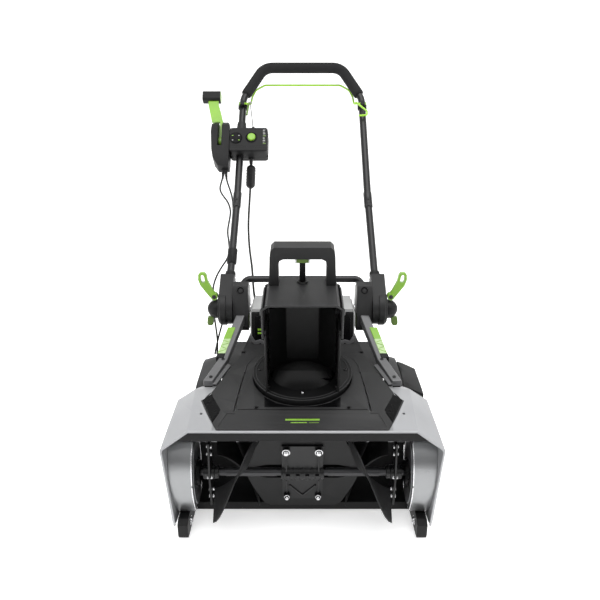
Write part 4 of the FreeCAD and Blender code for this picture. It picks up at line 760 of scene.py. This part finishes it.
# ------------------------------------------------------------------ chute: flange screws, inner floor, throat duct, rims, with painted highlight beads on the rims and a painted shade plate in the throat
for k, (u, v) in enumerate(((0, -91), (-80, -66), (80, -66), (-104, 4), (104, 4), (-72, 78), (72, 78))):
    cap_screw("flange_screw_%d" % k, C(u, v, 0.0), C(0, 0, 1) - C(0, 0, 0), 4.6 if k else 3.0, steel_black if k else steel, "chute", h=2.6)
for r, w in ((119.0, -0.3), (112.0, 0.2), (91.0, 0.2)):
    ring = [C(r * math.cos(2 * math.pi * k / 96), r * math.sin(2 * math.pi * k / 96), w) for k in range(97)]
    # charcoal beads on the black flange edges, lighter than the ring: painted highlight on the rims
    if r > 100:
        tube("flange_highlight_bead_%d" % r, ring, 0.0013, charcoal, "chute", seg=10)
duct = [(281, 323), (268, 303), (248, 284), (224, 266), (203, 251)]
for k, (hx0, hx1) in enumerate(((70, 84),)):
    vs_, n = [], len(duct)
    for i, (y, z) in enumerate(duct):
        hx = hx0 + (hx1 - hx0) * i / (n - 1)
        vs_ += [M(-hx, y, z), M(hx, y, z), M(hx, y + 2.5, z - 2.5), M(-hx, y + 2.5, z - 2.5)]
    fs_ = []
    for i in range(n - 1):
        a, b = 4 * i, 4 * i + 4
        fs_ += [[a + q, a + (q + 1) % 4, b + (q + 1) % 4, b + q] for q in range(4)]
    fs_ += [[0, 1, 2, 3], [4 * n - 1, 4 * n - 2, 4 * n - 3, 4 * n - 4]]
    obj_from("throat_duct", vs_, fs_, black, "chassis", bevel=0.0005)
# a dark plate standing in for the shaded rear wall seen down the throat: painted shade
plate = [(264, 304, 62), (248, 289, 71), (224, 271, 77), (205, 257, 79)]
vs_ = []
for y, z, hx in plate:
    vs_ += [M(-hx, y, z), M(hx, y, z), M(hx, y + 1.5, z - 1.5), M(-hx, y + 1.5, z - 1.5)]
fs_ = [[4 * i + q, 4 * i + (q + 1) % 4, 4 * i + 4 + (q + 1) % 4, 4 * i + 4 + q] for i in range(3) for q in range(4)] + [[3, 2, 1, 0], [12, 13, 14, 15]]
obj_from("throat_shade_plate", vs_, fs_, dark, "chassis", bevel=0.0006)
for sg in (1, -1):
    tube("chute_edge_%d" % sg, [C(sg * 82.0, -86.5, 1), C(sg * 82.0, -86.5, 150)], 0.0026, black, "chute", seg=14)
hood_rim = arc_path([C(-87, -90.5, 144), C(-87, -90.5, 214), C(-73, -95.5, 226), C(73, -95.5, 226), C(87, -90.5, 214), C(87, -90.5, 144)], [0.010, 0.008, 0.008, 0.010])
tube("hood_rim", hood_rim, 0.0024, charcoal, "deflector", seg=14)
for sg in (1, -1):
    tube("hood_shoulder_%d" % sg, [C(sg * 75.0, -88, 226.8), C(sg * 75.0, 8, 226.8)], 0.0016, charcoal, "deflector", seg=12)
    lathe("hinge_cap_%d" % sg, [(0, 0), (0, 9.5), (1.5, 9.5), (4.0, 8.0), (5.2, 5.0), (5.2, 3.4), (3.4, 3.0), (3.4, 0)], C(sg * 93.0, -8, 165), (sg, 0, 0), steel_black, "deflector", seg=36, close=False)
lathe("stem_grommet", [(0, 7.8), (0, 13.0), (1.5, 13.5), (3.6, 11.5), (4.0, 9.0), (4.0, 7.8)], C(0, 22, 228), C(0, 0, 1) - C(0, 0, 0), black, "deflector", seg=36)
panel = [(-39, 6), (39, 6), (39, 158), (-39, 158)]
extrude("chute_back_panel", rounded_poly(panel, 4), 46.6, 48.2, lambda p, q, t: C(p, t, q), dark, "chute", bevel=0.0008)
for sg in (1, -1):
    extrude("chute_side_panel_%d" % sg, rounded_poly([(-74, 10), (4, 10), (4, 146), (-74, 146)], 5), 80.2, 78.8, lambda p, q, t, sg=sg: C(sg * t, p, q), black_gloss, "chute", bevel=0.0006)
for sg in (1, -1):
    # gripping ribs on the arch's inner face
    for k in range(5):
        rbox("arch_rib_%d_%d" % (sg, k), (sg * (20 + 5 * k) - 1.0, 4, 291.2), (sg * (20 + 5 * k) + 1.0, 40, 292.4), C, dark, "deflector", bevel=0.0004)
    rbox("trigger_slot_trim_%d" % sg, (sg * 15.6, 7, 275), (sg * 16.6, 37, 292), C, black, "deflector", bevel=0.0003)

# ------------------------------------------------------------------ battery housing: front panel, shoulders, door lines
BAYF = [(-126, 346), (126, 346), (126, 420), (120, 427), (-120, 427), (-126, 420)]
extrude("bay_front_panel", rounded_poly(BAYF, 5), 338.2, 335.6, lambda p, q, t: M(p, t, q), black_gloss, "chassis", bevel=0.001)
for k, (x0, x1, z) in enumerate(((-118, -84, 388), (-118, -98, 378))):
    rbox("bay_stripe_%d" % k, (x0, 335.0, z - 2.6), (x1, 335.9, z + 2.6), M, green, "chassis", bevel=0.0005)
for sg in (1, -1):
    s_ = "r" if sg > 0 else "l"
    sh = [(340, 360), (352, 356), (448, 376), (459, 388), (459, 431), (340, 431)]
    extrude("bay_shoulder_" + s_, rounded_poly(sh, 5), 133.6, 137.6, lambda p, q, t, sg=sg: M(sg * t, p, q), grey, "chassis", bevel=0.0014)
    sc = [(96, 348), (102, 342), (112, 350), (122, 343), (134, 352), (140, 372), (134, 372), (126, 356), (112, 360), (100, 356)]
    extrude("bay_scallop_" + s_, sc, 337.8, 334.2, lambda p, q, t, sg=sg: M(sg * p, t, q), strut_grey, "chassis", bevel=0.0008)
    rbox("door_rib_" + s_, (sg * 100 - 1.5, 360, 440.8), (sg * 100 + 1.5, 428, 442.4), M, grey, "battery_door", bevel=0.0006)
    # a black strip on the grey door marks the latch slot: painted shade in the recess
    rbox("door_slot_painted_shade_" + s_, (sg * 73 - 12, 428, 440.4), (sg * 73 + 12, 439, 441.35), M, black, "battery_door", bevel=0.0004)
for k in range(7):
    rbox("door_grip_%d" % k, (-24, 438 + 2.2 * k - 8, 440.9), (24, 439 + 2.2 * k - 8, 442.0), M, grey, "battery_door", bevel=0.0003)
rbox("door_latch", (-30, 453.0, 428), (30, 458.5, 441.5), M, black, "battery_door", bevel=0.0016)
for k in range(6):
    rbox("pack_rib_%d" % k, (-60 + 22 * k - 5, 351.2, 250), (-60 + 22 * k + 5, 352.2, 386), M, black, "chassis", bevel=0.0004)
rbox("pack_stripe", (-70, 350.9, 390), (70, 352.1, 398), M, green, "chassis", bevel=0.0004)

# ------------------------------------------------------------------ struts: black strips as painted shade under them, bolts
for sg in (1, -1):
    s_ = "r" if sg > 0 else "l"
    for k, (y, x, z) in enumerate(((186, 224, 326.5), (262, 203, 337.5))):
        cap_screw("strut_bolt_%s_%d" % (s_, k), M(sg * (x - 1), y, z - (0.4 if k else 0.2)), (0, -0.35, 0.94), 4.4, steel_black, "chassis", h=2.0)
    gp = [(208, 172, 314), (229, 172, 319), (205, 262, 331), (182, 262, 321)]
    vs_ = [M(sg * x, y, z) for x, y, z in gp] + [M(sg * x, y, z - 3.5) for x, y, z in gp]
    obj_from("strut_gusset_" + s_, vs_, [[0, 1, 2, 3], [7, 6, 5, 4]] + [[i, (i + 1) % 4, 4 + (i + 1) % 4, 4 + i] for i in range(4)], strut_grey, "chassis", bevel=0.001)
    # black strips along the struts' lower edges: painted shade under the struts
    under = [(172, 228, 308, 9.5), (262, 203, 319, 9.5), (383, 170, 379, 9.5)]
    vs_ = []
    for y, x, z, hw in under:
        vs_ += [M(sg * (x - hw), y, z - 2.4), M(sg * (x + hw), y, z - 2.4), M(sg * (x + hw), y, z + 0.5), M(sg * (x - hw), y, z + 0.5)]
    fs_ = [[4 * i + q, 4 * i + (q + 1) % 4, 4 * i + 4 + (q + 1) % 4, 4 * i + 4 + q] for i in range(2) for q in range(4)] + [[3, 2, 1, 0], [8, 9, 10, 11]]
    obj_from("strut_painted_shade_" + s_, vs_, fs_, black, "chassis", bevel=0.0006)
    # accent blade in three finishes

    def acc(f, a):
        y = 262.0 + 127.6 * f
        return (sg * (203.0 - 35.0 * f + 12.0), y, 328.0 + 68.0 * f + a)
    for nm, f0, f1, mt, out in (("cap", 0.03, 0.12, black, 7.4), ("pale", 0.12, 0.44, green_pale, 7.2), ("blade", 0.44, 0.70, green, 7.6)):
        vs_ = []
        for f in (f0, f1):
            top = 10 + 2 * f
            x, y, z = acc(f, 0)
            for dx, dz in ((0.1, -6.3), (out, -5.4), (out, top - 1.0), (0.1, top + 0.3)):
                vs_.append(M(x + sg * dx, y, z + dz))
        obj_from("accent_%s_%s" % (nm, s_), vs_, [[0, 1, 2, 3], [7, 6, 5, 4]] + [[q, (q + 1) % 4, 4 + (q + 1) % 4, 4 + q] for q in range(4)], mt, "chassis", bevel=0.0012,
                 replaces=("strut_accents",), slot="green_plastic")
        vs_ = []
        for f in (f0, f1):
            x, y, z = acc(f, 9 + 3 * f)
            for dx, dz in ((-13.0, 0.1), (out, 0.1), (out - 0.5, 1.5), (-12.0, 1.7)):
                vs_.append(M(x + sg * dx, y, z + dz))
        obj_from("accent_top_%s_%s" % (nm, s_), vs_, [[0, 1, 2, 3], [7, 6, 5, 4]] + [[q, (q + 1) % 4, 4 + (q + 1) % 4, 4 + q] for q in range(4)], mt, "chassis", bevel=0.0006,
                 slot="green_plastic")
    for k in range(4):
        f = 0.15 + 0.07 * k
        xa, ya, za = acc(f, 10.8 + 3 * f)
        xb, yb, zb = acc(f + 0.05, 10.8 + 3 * (f + 0.05))
        tube("accent_zig_%s_%d" % (s_, k), [M(xa + sg * (-11 if k % 2 else 6), ya, za), M(xb + sg * (6 if k % 2 else -11), yb, zb)], 0.0007, green, "chassis", seg=8)
        x, y, z = acc(f, 0)
        x2, y2, z2 = acc(f + 0.06, 0)
        tube("accent_line_%s_%d" % (s_, k), [M(x + sg * 7.2, y, z - 4.5), M(x2 + sg * 7.2, y2, z2 + 8.5)], 0.0007, green, "chassis", seg=8)

# ------------------------------------------------------------------ knuckles, sockets, cams
for sg in (1, -1):
    s_ = "r" if sg > 0 else "l"
    lathe("knuckle_plug_" + s_, [(-1.0, 0), (-1.0, 5.6), (0.6, 6.2), (1.6, 7.8), (1.6, 8.8), (0.2, 9.4), (-1.5, 9.4)], M(sg * 166, 395.6, 476.2), (0, -0.857, 0.514), black_gloss, "chassis", seg=36, close=False)
    # the inner cover is light grey against the charcoal knuckle plates: painted highlight on the cover
    inner = [(398, 410), (443, 410), (448, 452), (440, 476), (424, 484), (404, 478), (396, 464)]
    extrude("knuckle_cover_painted_highlight_" + s_, rounded_poly(inner, 6), 147.2, 143.6, lambda p, q, t, sg=sg: M(sg * t, p, q), grey, "chassis", bevel=0.0014)
    # the pad is the knuckle's green part in painted shade, coloured a darker green
    low = [(402, 364), (436, 364), (447, 376), (444, 404), (398, 404), (394, 376)]
    extrude("knuckle_pad_" + s_, rounded_poly(low, 4), 147.2, 144.8, lambda p, q, t, sg=sg: M(sg * t, p, q), shaded_green, "chassis", bevel=0.001)
    lathe("socket_band_" + s_, [(0, 43.0), (0, 45.4), (1.5, 46.8), (15.5, 46.8), (17.0, 45.4), (17.0, 43.0)], M(sg * 206, 420, 417), (sg, 0, 0), dark, "handle", seg=96)
    lathe("socket_ring_" + s_, [(0, 25.5), (0, 41.0), (1.6, 41.0), (2.6, 39.5), (2.6, 36.5), (1.4, 35.5), (1.4, 29.0), (2.6, 28.0), (2.6, 25.5)], M(sg * 226.0, 420, 417), (sg, 0, 0), black, "handle", seg=72)
    lathe("cam_dome_" + s_, [(0, 0), (0, 24.4), (3, 25.2), (12, 25.0), (20, 22.5), (27, 17.5), (31.5, 11.0), (33.5, 5.0), (34.0, 0)], M(sg * 226.6, 420, 415), (sg, 0, 0), black, "handle", seg=64, close=False, replaces=("cam_bodies",), slot="black_plastic")
    for k in range(8):
        a = 2 * math.pi * k / 8 + 0.3
        tube("cam_flute_%s_%d" % (s_, k), [M(sg * 229, 420 + 25.2 * math.cos(a), 415 + 25.2 * math.sin(a)), M(sg * 240, 420 + 25.0 * math.cos(a), 415 + 25.0 * math.sin(a)), M(sg * 250, 420 + 20.5 * math.cos(a), 415 + 20.5 * math.sin(a))], 0.0012, black, "handle", seg=8)
    nub = [(243, 394), (246, 372), (251, 367), (260, 368), (263, 374), (261, 392)]
    extrude("cam_nub_" + s_, rounded_poly(nub, 3), 412.5, 427.5, lambda p, q, t, sg=sg: M(sg * p, t, q), green_dark, "handle", bevel=0.0018)
    lathe("eye_pin_" + s_, [(0, 0), (0, 5.6), (1.2, 5.6), (2.0, 4.6), (2.0, 0)], M(sg * 240, 411.0, 452), (0, -1, 0), steel_black, "cam_lever_left" if sg < 0 else "cam_lever_right", seg=28)
    # lower tube boot, splice sleeve with its screw
    base = H(sg * 203.0, 0, 60)
    tdir = (H(sg * 190, 0, 338) - H(sg * 204, 0, 40)).normalized()
    lathe("tube_boot_" + s_, [(0, 10.5), (0, 14.2), (3, 14.8), (12, 14.2), (15, 12.6), (15, 10.5)], H(sg * 201.6, 0, 91), tdir, black, "handle", seg=40)
    lathe("splice_sleeve_" + s_, [(-26, 10.5), (-26, 11.6), (-24.5, 12.2), (20, 12.2), (22, 11.6), (22, 10.5)], H(sg * 190.4, 0, 330), tdir, steel_black, "handle", seg=48)
    cap_screw("splice_screw_" + s_, H(sg * 190.6, -12.0, 326), H(0, -1, 0) - H(0, 0, 0), 4.2, steel_black, "handle", h=2.4)
    cap_screw("splice_screw_b_" + s_, H(sg * 191.4, -12.0, 308), H(0, -1, 0) - H(0, 0, 0), 4.6, steel_black, "handle", h=2.2)
    # bail pivot screw and end hook
    lathe("bail_pivot_cap_" + s_, [(0, 0), (0, 5.0), (1.6, 5.0), (2.6, 4.0), (2.6, 0)], M(sg * 190.5, 800, 938), (sg, 0, 0), green, "bail", seg=28)
    # grip end ring
    gdir = (H(sg * 120, 0, 788) - H(sg * 173.5, 0, 690)).normalized()
    lathe("grip_ring_" + s_, [(-3.0, 10.5), (-3.0, 13.4), (-1.5, 15.0), (0.0, 15.4), (0.0, 10.5)], H(sg * 173.6, 0, 690.2), gdir, foam, "handle", seg=40)

tube("bail_hook", arc_path([H(160, -9, 652), H(164, -20, 646), H(194.6, -23, 614), H(194, -23, 600), H(169, -23, 598)], [0.003, 0.008, 0.005, 0.006]), 0.0028, wire_green, "bail", seg=14)
tube("bail_strip", arc_path([H(-160, -9, 652), H(-163, -21, 640), H(-168, -23, 600)], [0.006]), 0.0028, green_dark, "bail", seg=14)

# ------------------------------------------------------------------ control box
fr = H(0, -1, 0) - H(0, 0, 0)
lathe("button_bezel", [(0, 12.7), (0, 17.5), (0.9, 17.3), (1.8, 15.2), (1.8, 13.2), (0.3, 12.7)], H(-151, -31.9, 517), fr, black_gloss, "handle", seg=48)
lathe("status_dial", [(0, 0), (0, 19.0), (0.8, 19.0), (1.6, 17.8), (1.2, 16.6), (1.2, 7.0), (1.9, 6.4), (1.9, 0)], H(-197, -31.9, 515), fr, black_gloss, "handle", seg=56, close=False)
for k, a in enumerate((40, 140, 220, 320)):
    ca, sa = math.cos(math.radians(a)), math.sin(math.radians(a))
    rbox("dial_mark_%d" % k, (-197 + 12 * ca - 2.2, -33.9, 515 + 12 * sa - 1.2), (-197 + 12 * ca + 2.2, -33.0, 515 + 12 * sa + 1.2), H, green if k % 2 else grey, "handle", bevel=0.0003)
for k in range(6):
    s0 = 495 + 8.6 * k
    rbox("icon_%d" % k, (-117, -32.5, s0), (-108.5 - (k % 3) * 1.8, -31.9, s0 + 3.0), H, grey if k % 3 else green_dark, "handle", bevel=0.0002)
    rbox("icon_b_%d" % k, (-117, -32.5, s0 + 4.2), (-112.5 + (k % 2) * 2.0, -31.9, s0 + 5.4), H, grey, "handle", bevel=0.0002)
lip_v = rounded_poly([(-215, 470), (-104, 470), (-104, 487), (-150, 482), (-215, 486)], 3)
extrude("box_lower_lip", lip_v, -31.8, -36.5, lambda p, q, t: H(p, t, q), black, "handle", bevel=0.003, segs=4)
crown = rounded_poly([(-178, 548), (-126, 548), (-131, 555.5), (-172, 555.5)], 3)
extrude("box_crown", crown, -24, 12, lambda p, q, t: H(p, t, q), dark, "handle", bevel=0.0025, segs=4)
lathe("cable_boss", [(-2, 0), (-2, 7.0), (4, 7.0), (9, 5.2), (12, 3.2), (12, 0)], H(-148, -12, 553), H(0, 0, 1) - H(0, 0, 0), black, "handle", seg=32, close=False)
up = (H(-182, 0, 675) - H(-190, 0, 338)).normalized()
lathe("box_sleeve", [(0, 10.6), (0, 14.4), (30, 13.8), (36, 13.0), (37, 10.6)], H(-185.0, 0, 549.5), up, dark, "handle", seg=48)
rbox("box_seam", (-216.2, -0.4, 470.5), (-102.8, 0.6, 549.5), H, black, "handle", bevel=0.0002)
for x, s0 in ((-208, 478), (-112, 478), (-208, 541), (-112, 541)):
    cap_screw("box_screw_%d_%d" % (x, s0), H(x, 22.0, s0), -fr, 3.4, steel_black, "handle", h=1.6)
# chute control housing: slot lips, side ribs, axle cap, boots
for x in (-251.8, -238.2):
    tube("slot_lip_%d" % x, arc_path([H(x, -33.6, 492), H(x, -33.6, 559), H(x, -19.6, 575.4), H(x, 9.0, 575.4)], [0.006, 0.006]), 0.0012, black, "handle", seg=10)
lathe("lever_axle_cap", [(0, 0), (0, 9.5), (1.4, 9.5), (2.6, 8.0), (2.6, 0)], H(-270.2, -4, 518), (-1, 0, 0), black_gloss, "handle", seg=36)
for k in range(4):
    rbox("housing_rib_%d" % k, (-267.0 + 3.2 * (3 - k) * 0.6, -28, 450 + 9 * k), (-264.5 + 3.2 * (3 - k) * 0.6 - 3.4, 12, 453 + 9 * k), H, black, "handle", bevel=0.0006)


def boot(name, a, b, r0, r1, mat=cable_m):
    d = (b - a).normalized()
    ln = (b - a).length * 1000
    prof = [(-3, 0), (-3, r0 * 1.25), (0, r0 * 1.25), (1.5, r0)]
    for k in range(6):
        t0 = 1.5 + (ln - 3) * (k + 0.35) / 6
        t1 = 1.5 + (ln - 3) * (k + 0.75) / 6
        ra, rb = r0 + (r1 - r0) * (k + 0.3) / 6, r0 + (r1 - r0) * (k + 0.8) / 6
        prof += [(t0, ra), (t0 + 0.4, ra - 0.9), (t1, rb - 0.9), (t1 + 0.4, rb)]
    prof += [(ln, r1), (ln, 0)]
    return lathe(name, prof, a, d, mat, "handle", seg=28, close=False, slot="cable_rubber")


boot("boot_a", path_a[0], path_a[0] + (path_a[10] - path_a[0]).normalized() * 0.024, 5.2, 3.2)
boot("boot_b", path_b[0], path_b[0] + (path_b[10] - path_b[0]).normalized() * 0.026, 5.0, 3.2)
boot("boot_power", path_p[0], path_p[0] + (path_p[6] - path_p[0]).normalized() * 0.024, 6.4, 3.9)
for k in range(5):
    lathe("ferrite_ring_%d" % k, [(-1.4, 12.5), (-1.4, 13.9), (-0.7, 14.5), (0.7, 14.5), (1.4, 13.9), (1.4, 12.5)], fc + fd * (0.009 * (k - 2)), fd, cable_m, "handle", seg=36)
for k, sgn in enumerate((-1, 1)):
    lathe("ferrite_cone_%d" % k, [(0, 3.4), (0, 12.8), (2.5, 11.5), (5.5, 8.0), (7.0, 4.6), (9.0, 3.4)], fc + fd * (0.0275 * sgn), fd * sgn, cable_m, "handle", seg=36)
clip_d = (H(-190, 0, 338) - H(-204, 0, 40)).normalized()
lathe("cable_clip", [(-22, 10.6), (-22, 13.0), (-20, 13.8), (20, 13.8), (22, 13.0), (22, 10.6)], H(-198.4, 0, 152), clip_d, black, "handle", seg=48)
rbox("cable_clip_jaw", (-212, 8, 136), (-192, 24, 168), H, black, "handle", bevel=0.003)
# bail cable: a thin wire from the left leg to the boss on the box
bw = path_of([H(-160, -13, 652), H(-157, -14, 628), H(-153, -14, 600), H(-149, -12.5, 562)])
tube("bail_cable", bw, 0.0011, steel_black, "handle", seg=10)
lathe("bail_cable_clip", [(-5, 0), (-5, 3.6), (5, 3.6), (5, 0)], H(-160, -13.5, 650), (1, 0, 0), grey, "bail", seg=24, close=False, bevel=0.0006)

# ------------------------------------------------------------------ wheels
for sg in (1, -1):
    s_ = "right" if sg > 0 else "left"
    body = "wheel_" + s_
    cen = M(sg * 232, 360, 100)
    prof = [(-17, 78), (-20.5, 84), (-19, 92), (-13, 97.2), (0, 98.4), (13, 97.2), (19, 92), (20.5, 84), (17, 78)]
    lathe("tyre_" + s_, prof, cen, (1, 0, 0), tyre_m, body, seg=96, replaces=(body,), slot="tyre_rubber")
    for k in range(28):
        a = 2 * math.pi * k / 28
        for side in (-1, 1):
            a2 = a + side * 0.056
            vs_ = []
            for r in (96.2, 99.9):
                for da in (-0.045, 0.045):
                    for xx in (1.5, 15.5):
                        aa = a2 + da * (1 if xx < 8 else 0.8) + side * 0.05 * (xx / 15.5)
                        rr = r - (0 if xx < 8 else 1.6)
                        vs_.append(cen + Vector((side * xx, rr * math.cos(aa), rr * math.sin(aa))) / 1000)
            for q, v in enumerate(vs_):
                x_ = cen.x + (v.x - cen.x) * 1.0
                vs_[q] = Vector((x_, v.y, v.z))
            for q in range(len(vs_)):
                vs_[q] = Vector((cen.x + side * (1.5 if q % 2 == 0 else 15.5) / 1000, vs_[q].y, vs_[q].z))
            obj_from("tread_%s_%02d_%d" % (s_, k, side), vs_, [[0, 1, 3, 2], [4, 6, 7, 5], [0, 4, 5, 1], [2, 3, 7, 6], [0, 2, 6, 4], [1, 5, 7, 3]], tyre_m, body, bevel=0.0009, slot="tyre_rubber")
    hub = [(-20.5, 6.3), (-20.5, 16), (-9, 20), (-8, 60), (-15, 70), (-17, 77.8), (17, 77.8), (15, 70), (8, 60), (9, 24), (20.8, 18), (20.8, 6.3)]
    lathe("rim_" + s_, hub, cen, (sg, 0, 0), dark, body, seg=96, bevel=0.0006, slot="black_plastic")
    for k in range(8):
        a = 2 * math.pi * k / 8
        ca, sa = math.cos(a), math.sin(a)
        vs_ = []
        for r, h in ((20, 17.5), (66, 13.0)):
            for d in (-4.0, 4.0):
                for xx in (7.0, h):
                    vs_.append(cen + Vector((sg * xx, r * ca - d * sa, r * sa + d * ca)) / 1000)
        obj_from("spoke_%s_%d" % (s_, k), vs_, [[0, 1, 3, 2], [4, 6, 7, 5], [0, 4, 5, 1], [2, 3, 7, 6], [0, 2, 6, 4], [1, 5, 7, 3]], dark, body, bevel=0.0015)
    lathe("hub_cap_" + s_, [(0, 0), (0, 15.5), (1.5, 15.5), (4.5, 13.0), (6.0, 8.0), (6.4, 0)], M(sg * 255.6, 360, 100), (sg, 0, 0), black, "chassis", seg=40, close=False)

# ------------------------------------------------------------------ rear and flank details
for sg in (1, -1):
    s_ = "r" if sg > 0 else "l"
    for k in range(5):
        rbox("rear_louvre_%s_%d" % (s_, k), (sg * 60, 469.6, 110 + 16 * k), (sg * 150, 473.4, 117 + 16 * k), M, black, "chassis", bevel=0.0015)
    for y, z in ((230, 90), (440, 90), (440, 270)):
        cap_screw("tub_screw_%s_%d_%d" % (s_, y, z), M(sg * 204.0, y, z), (sg, 0, 0), 5.0, steel_black, "chassis", h=2.4)
rbox("rear_panel", (-170, 469.8, 206), (170, 472.6, 284), M, dark, "chassis", bevel=0.002)
rbox("rear_panel_stripe", (-60, 472.4, 238), (60, 473.3, 244), M, green, "chassis", bevel=0.0004)
for y, z in ((222, 134), (222, 250), (322, 134), (322, 255)):
    cap_screw("cover_screw_%d_%d" % (y, z), M(303.0, y, z), (1, 0, 0), 4.6, steel, "chassis", h=2.4)
cv = rounded_poly([(222, 150), (236, 140), (312, 140), (324, 152), (324, 240), (312, 250), (236, 248), (222, 238)], 4)
extrude("cover_panel", cv, 302.8, 304.8, lambda p, q, t: M(t, p, q), black, "chassis", bevel=0.001)
for k in range(5):
    rbox("cover_rib_%d" % k, (304.4, 240 + 14 * k, 160), (306.0, 245 + 14 * k, 230), M, black, "chassis", bevel=0.0006)

# ------------------------------------------------------------------ stage and lights
prof = [(-40.0, 0.0), (2.6, 0.0)] + [(2.6 + 2.4 * math.sin(math.radians(6 * k)), 2.4 - 2.4 * math.cos(math.radians(6 * k))) for k in range(1, 16)] + [(5.0, 8.0)]
fl = bpy.data.meshes.new("floor")
fl.from_pydata([(x, y, z) for y, z in prof for x in (-30.0, 30.0)], [], [[2 * i, 2 * i + 1, 2 * i + 3, 2 * i + 2] for i in range(len(prof) - 1)])
fl.polygons.foreach_set("use_smooth", [True] * len(fl.polygons))
floor = bpy.data.objects.new("floor", fl)
scene.collection.objects.link(floor)
fm = bpy.data.materials.new("floor")
fm.use_nodes = True
fp = fm.node_tree.nodes["Principled BSDF"]
fn = fm.node_tree.nodes.new("ShaderNodeTexNoise")
fn.inputs["Scale"].default_value = 3.0
fr_ = ramp_node(fm.node_tree, 0.3, 0.7, (0.92, 0.92, 0.92), (0.94, 0.94, 0.94))
fm.node_tree.links.new(fn.outputs["Fac"], fr_.inputs["Fac"])
fm.node_tree.links.new(fr_.outputs["Color"], fp.inputs["Base Color"])
fp.inputs["Roughness"].default_value = 0.95
fp.inputs["Specular IOR Level"].default_value = 0.1
fp.inputs["Emission Color"].default_value = (1, 1, 1, 1)
fp.inputs["Emission Strength"].default_value = 0.42
fl.materials.append(fm)
world = bpy.data.worlds.new("studio")
scene.world = world
world.use_nodes = True
wt = world.node_tree
wc = wt.nodes.new("ShaderNodeTexCoord")
ws = wt.nodes.new("ShaderNodeSeparateXYZ")
wr = wt.nodes.new("ShaderNodeValToRGB")
wt.links.new(wc.outputs["Generated"], ws.inputs["Vector"])
wm = wt.nodes.new("ShaderNodeMapRange")
wm.inputs["From Min"].default_value = -1.0
wm.inputs["From Max"].default_value = 1.0
wt.links.new(ws.outputs["Z"], wm.inputs["Value"])
wt.links.new(wm.outputs["Result"], wr.inputs["Fac"])
wr.color_ramp.elements[0].position = 0.45
wr.color_ramp.elements[0].color = (0.50, 0.50, 0.50, 1)
wr.color_ramp.elements[1].position = 0.95
wr.color_ramp.elements[1].color = (1.25, 1.25, 1.25, 1)
e = wr.color_ramp.elements.new(0.60)
e.color = (0.20, 0.20, 0.205, 1)
e = wr.color_ramp.elements.new(0.72)
e.color = (0.62, 0.62, 0.62, 1)
wt.links.new(wr.outputs["Color"], wt.nodes["Background"].inputs["Color"])
wt.nodes["Background"].inputs["Strength"].default_value = 1.0


def area(name, loc, target, sx, sy, power, color=(1, 1, 1)):
    d = bpy.data.lights.new(name, "AREA")
    d.shape = "RECTANGLE"
    d.size, d.size_y = sx, sy
    d.energy = power
    d.color = color
    o = bpy.data.objects.new(name, d)
    scene.collection.objects.link(o)
    o.location = loc
    o.rotation_euler = (Vector(target) - Vector(loc)).to_track_quat("-Z", "Y").to_euler()
    return o


area("key_top", (0.2, -0.6, 2.6), (0, 0, 0.3), 2.2, 1.6, 38)
area("left", (-2.2, -1.2, 1.4), (0, -0.1, 0.4), 1.2, 1.8, 26)
area("right", (2.2, -1.0, 1.3), (0, -0.1, 0.4), 1.2, 1.8, 22)

import json
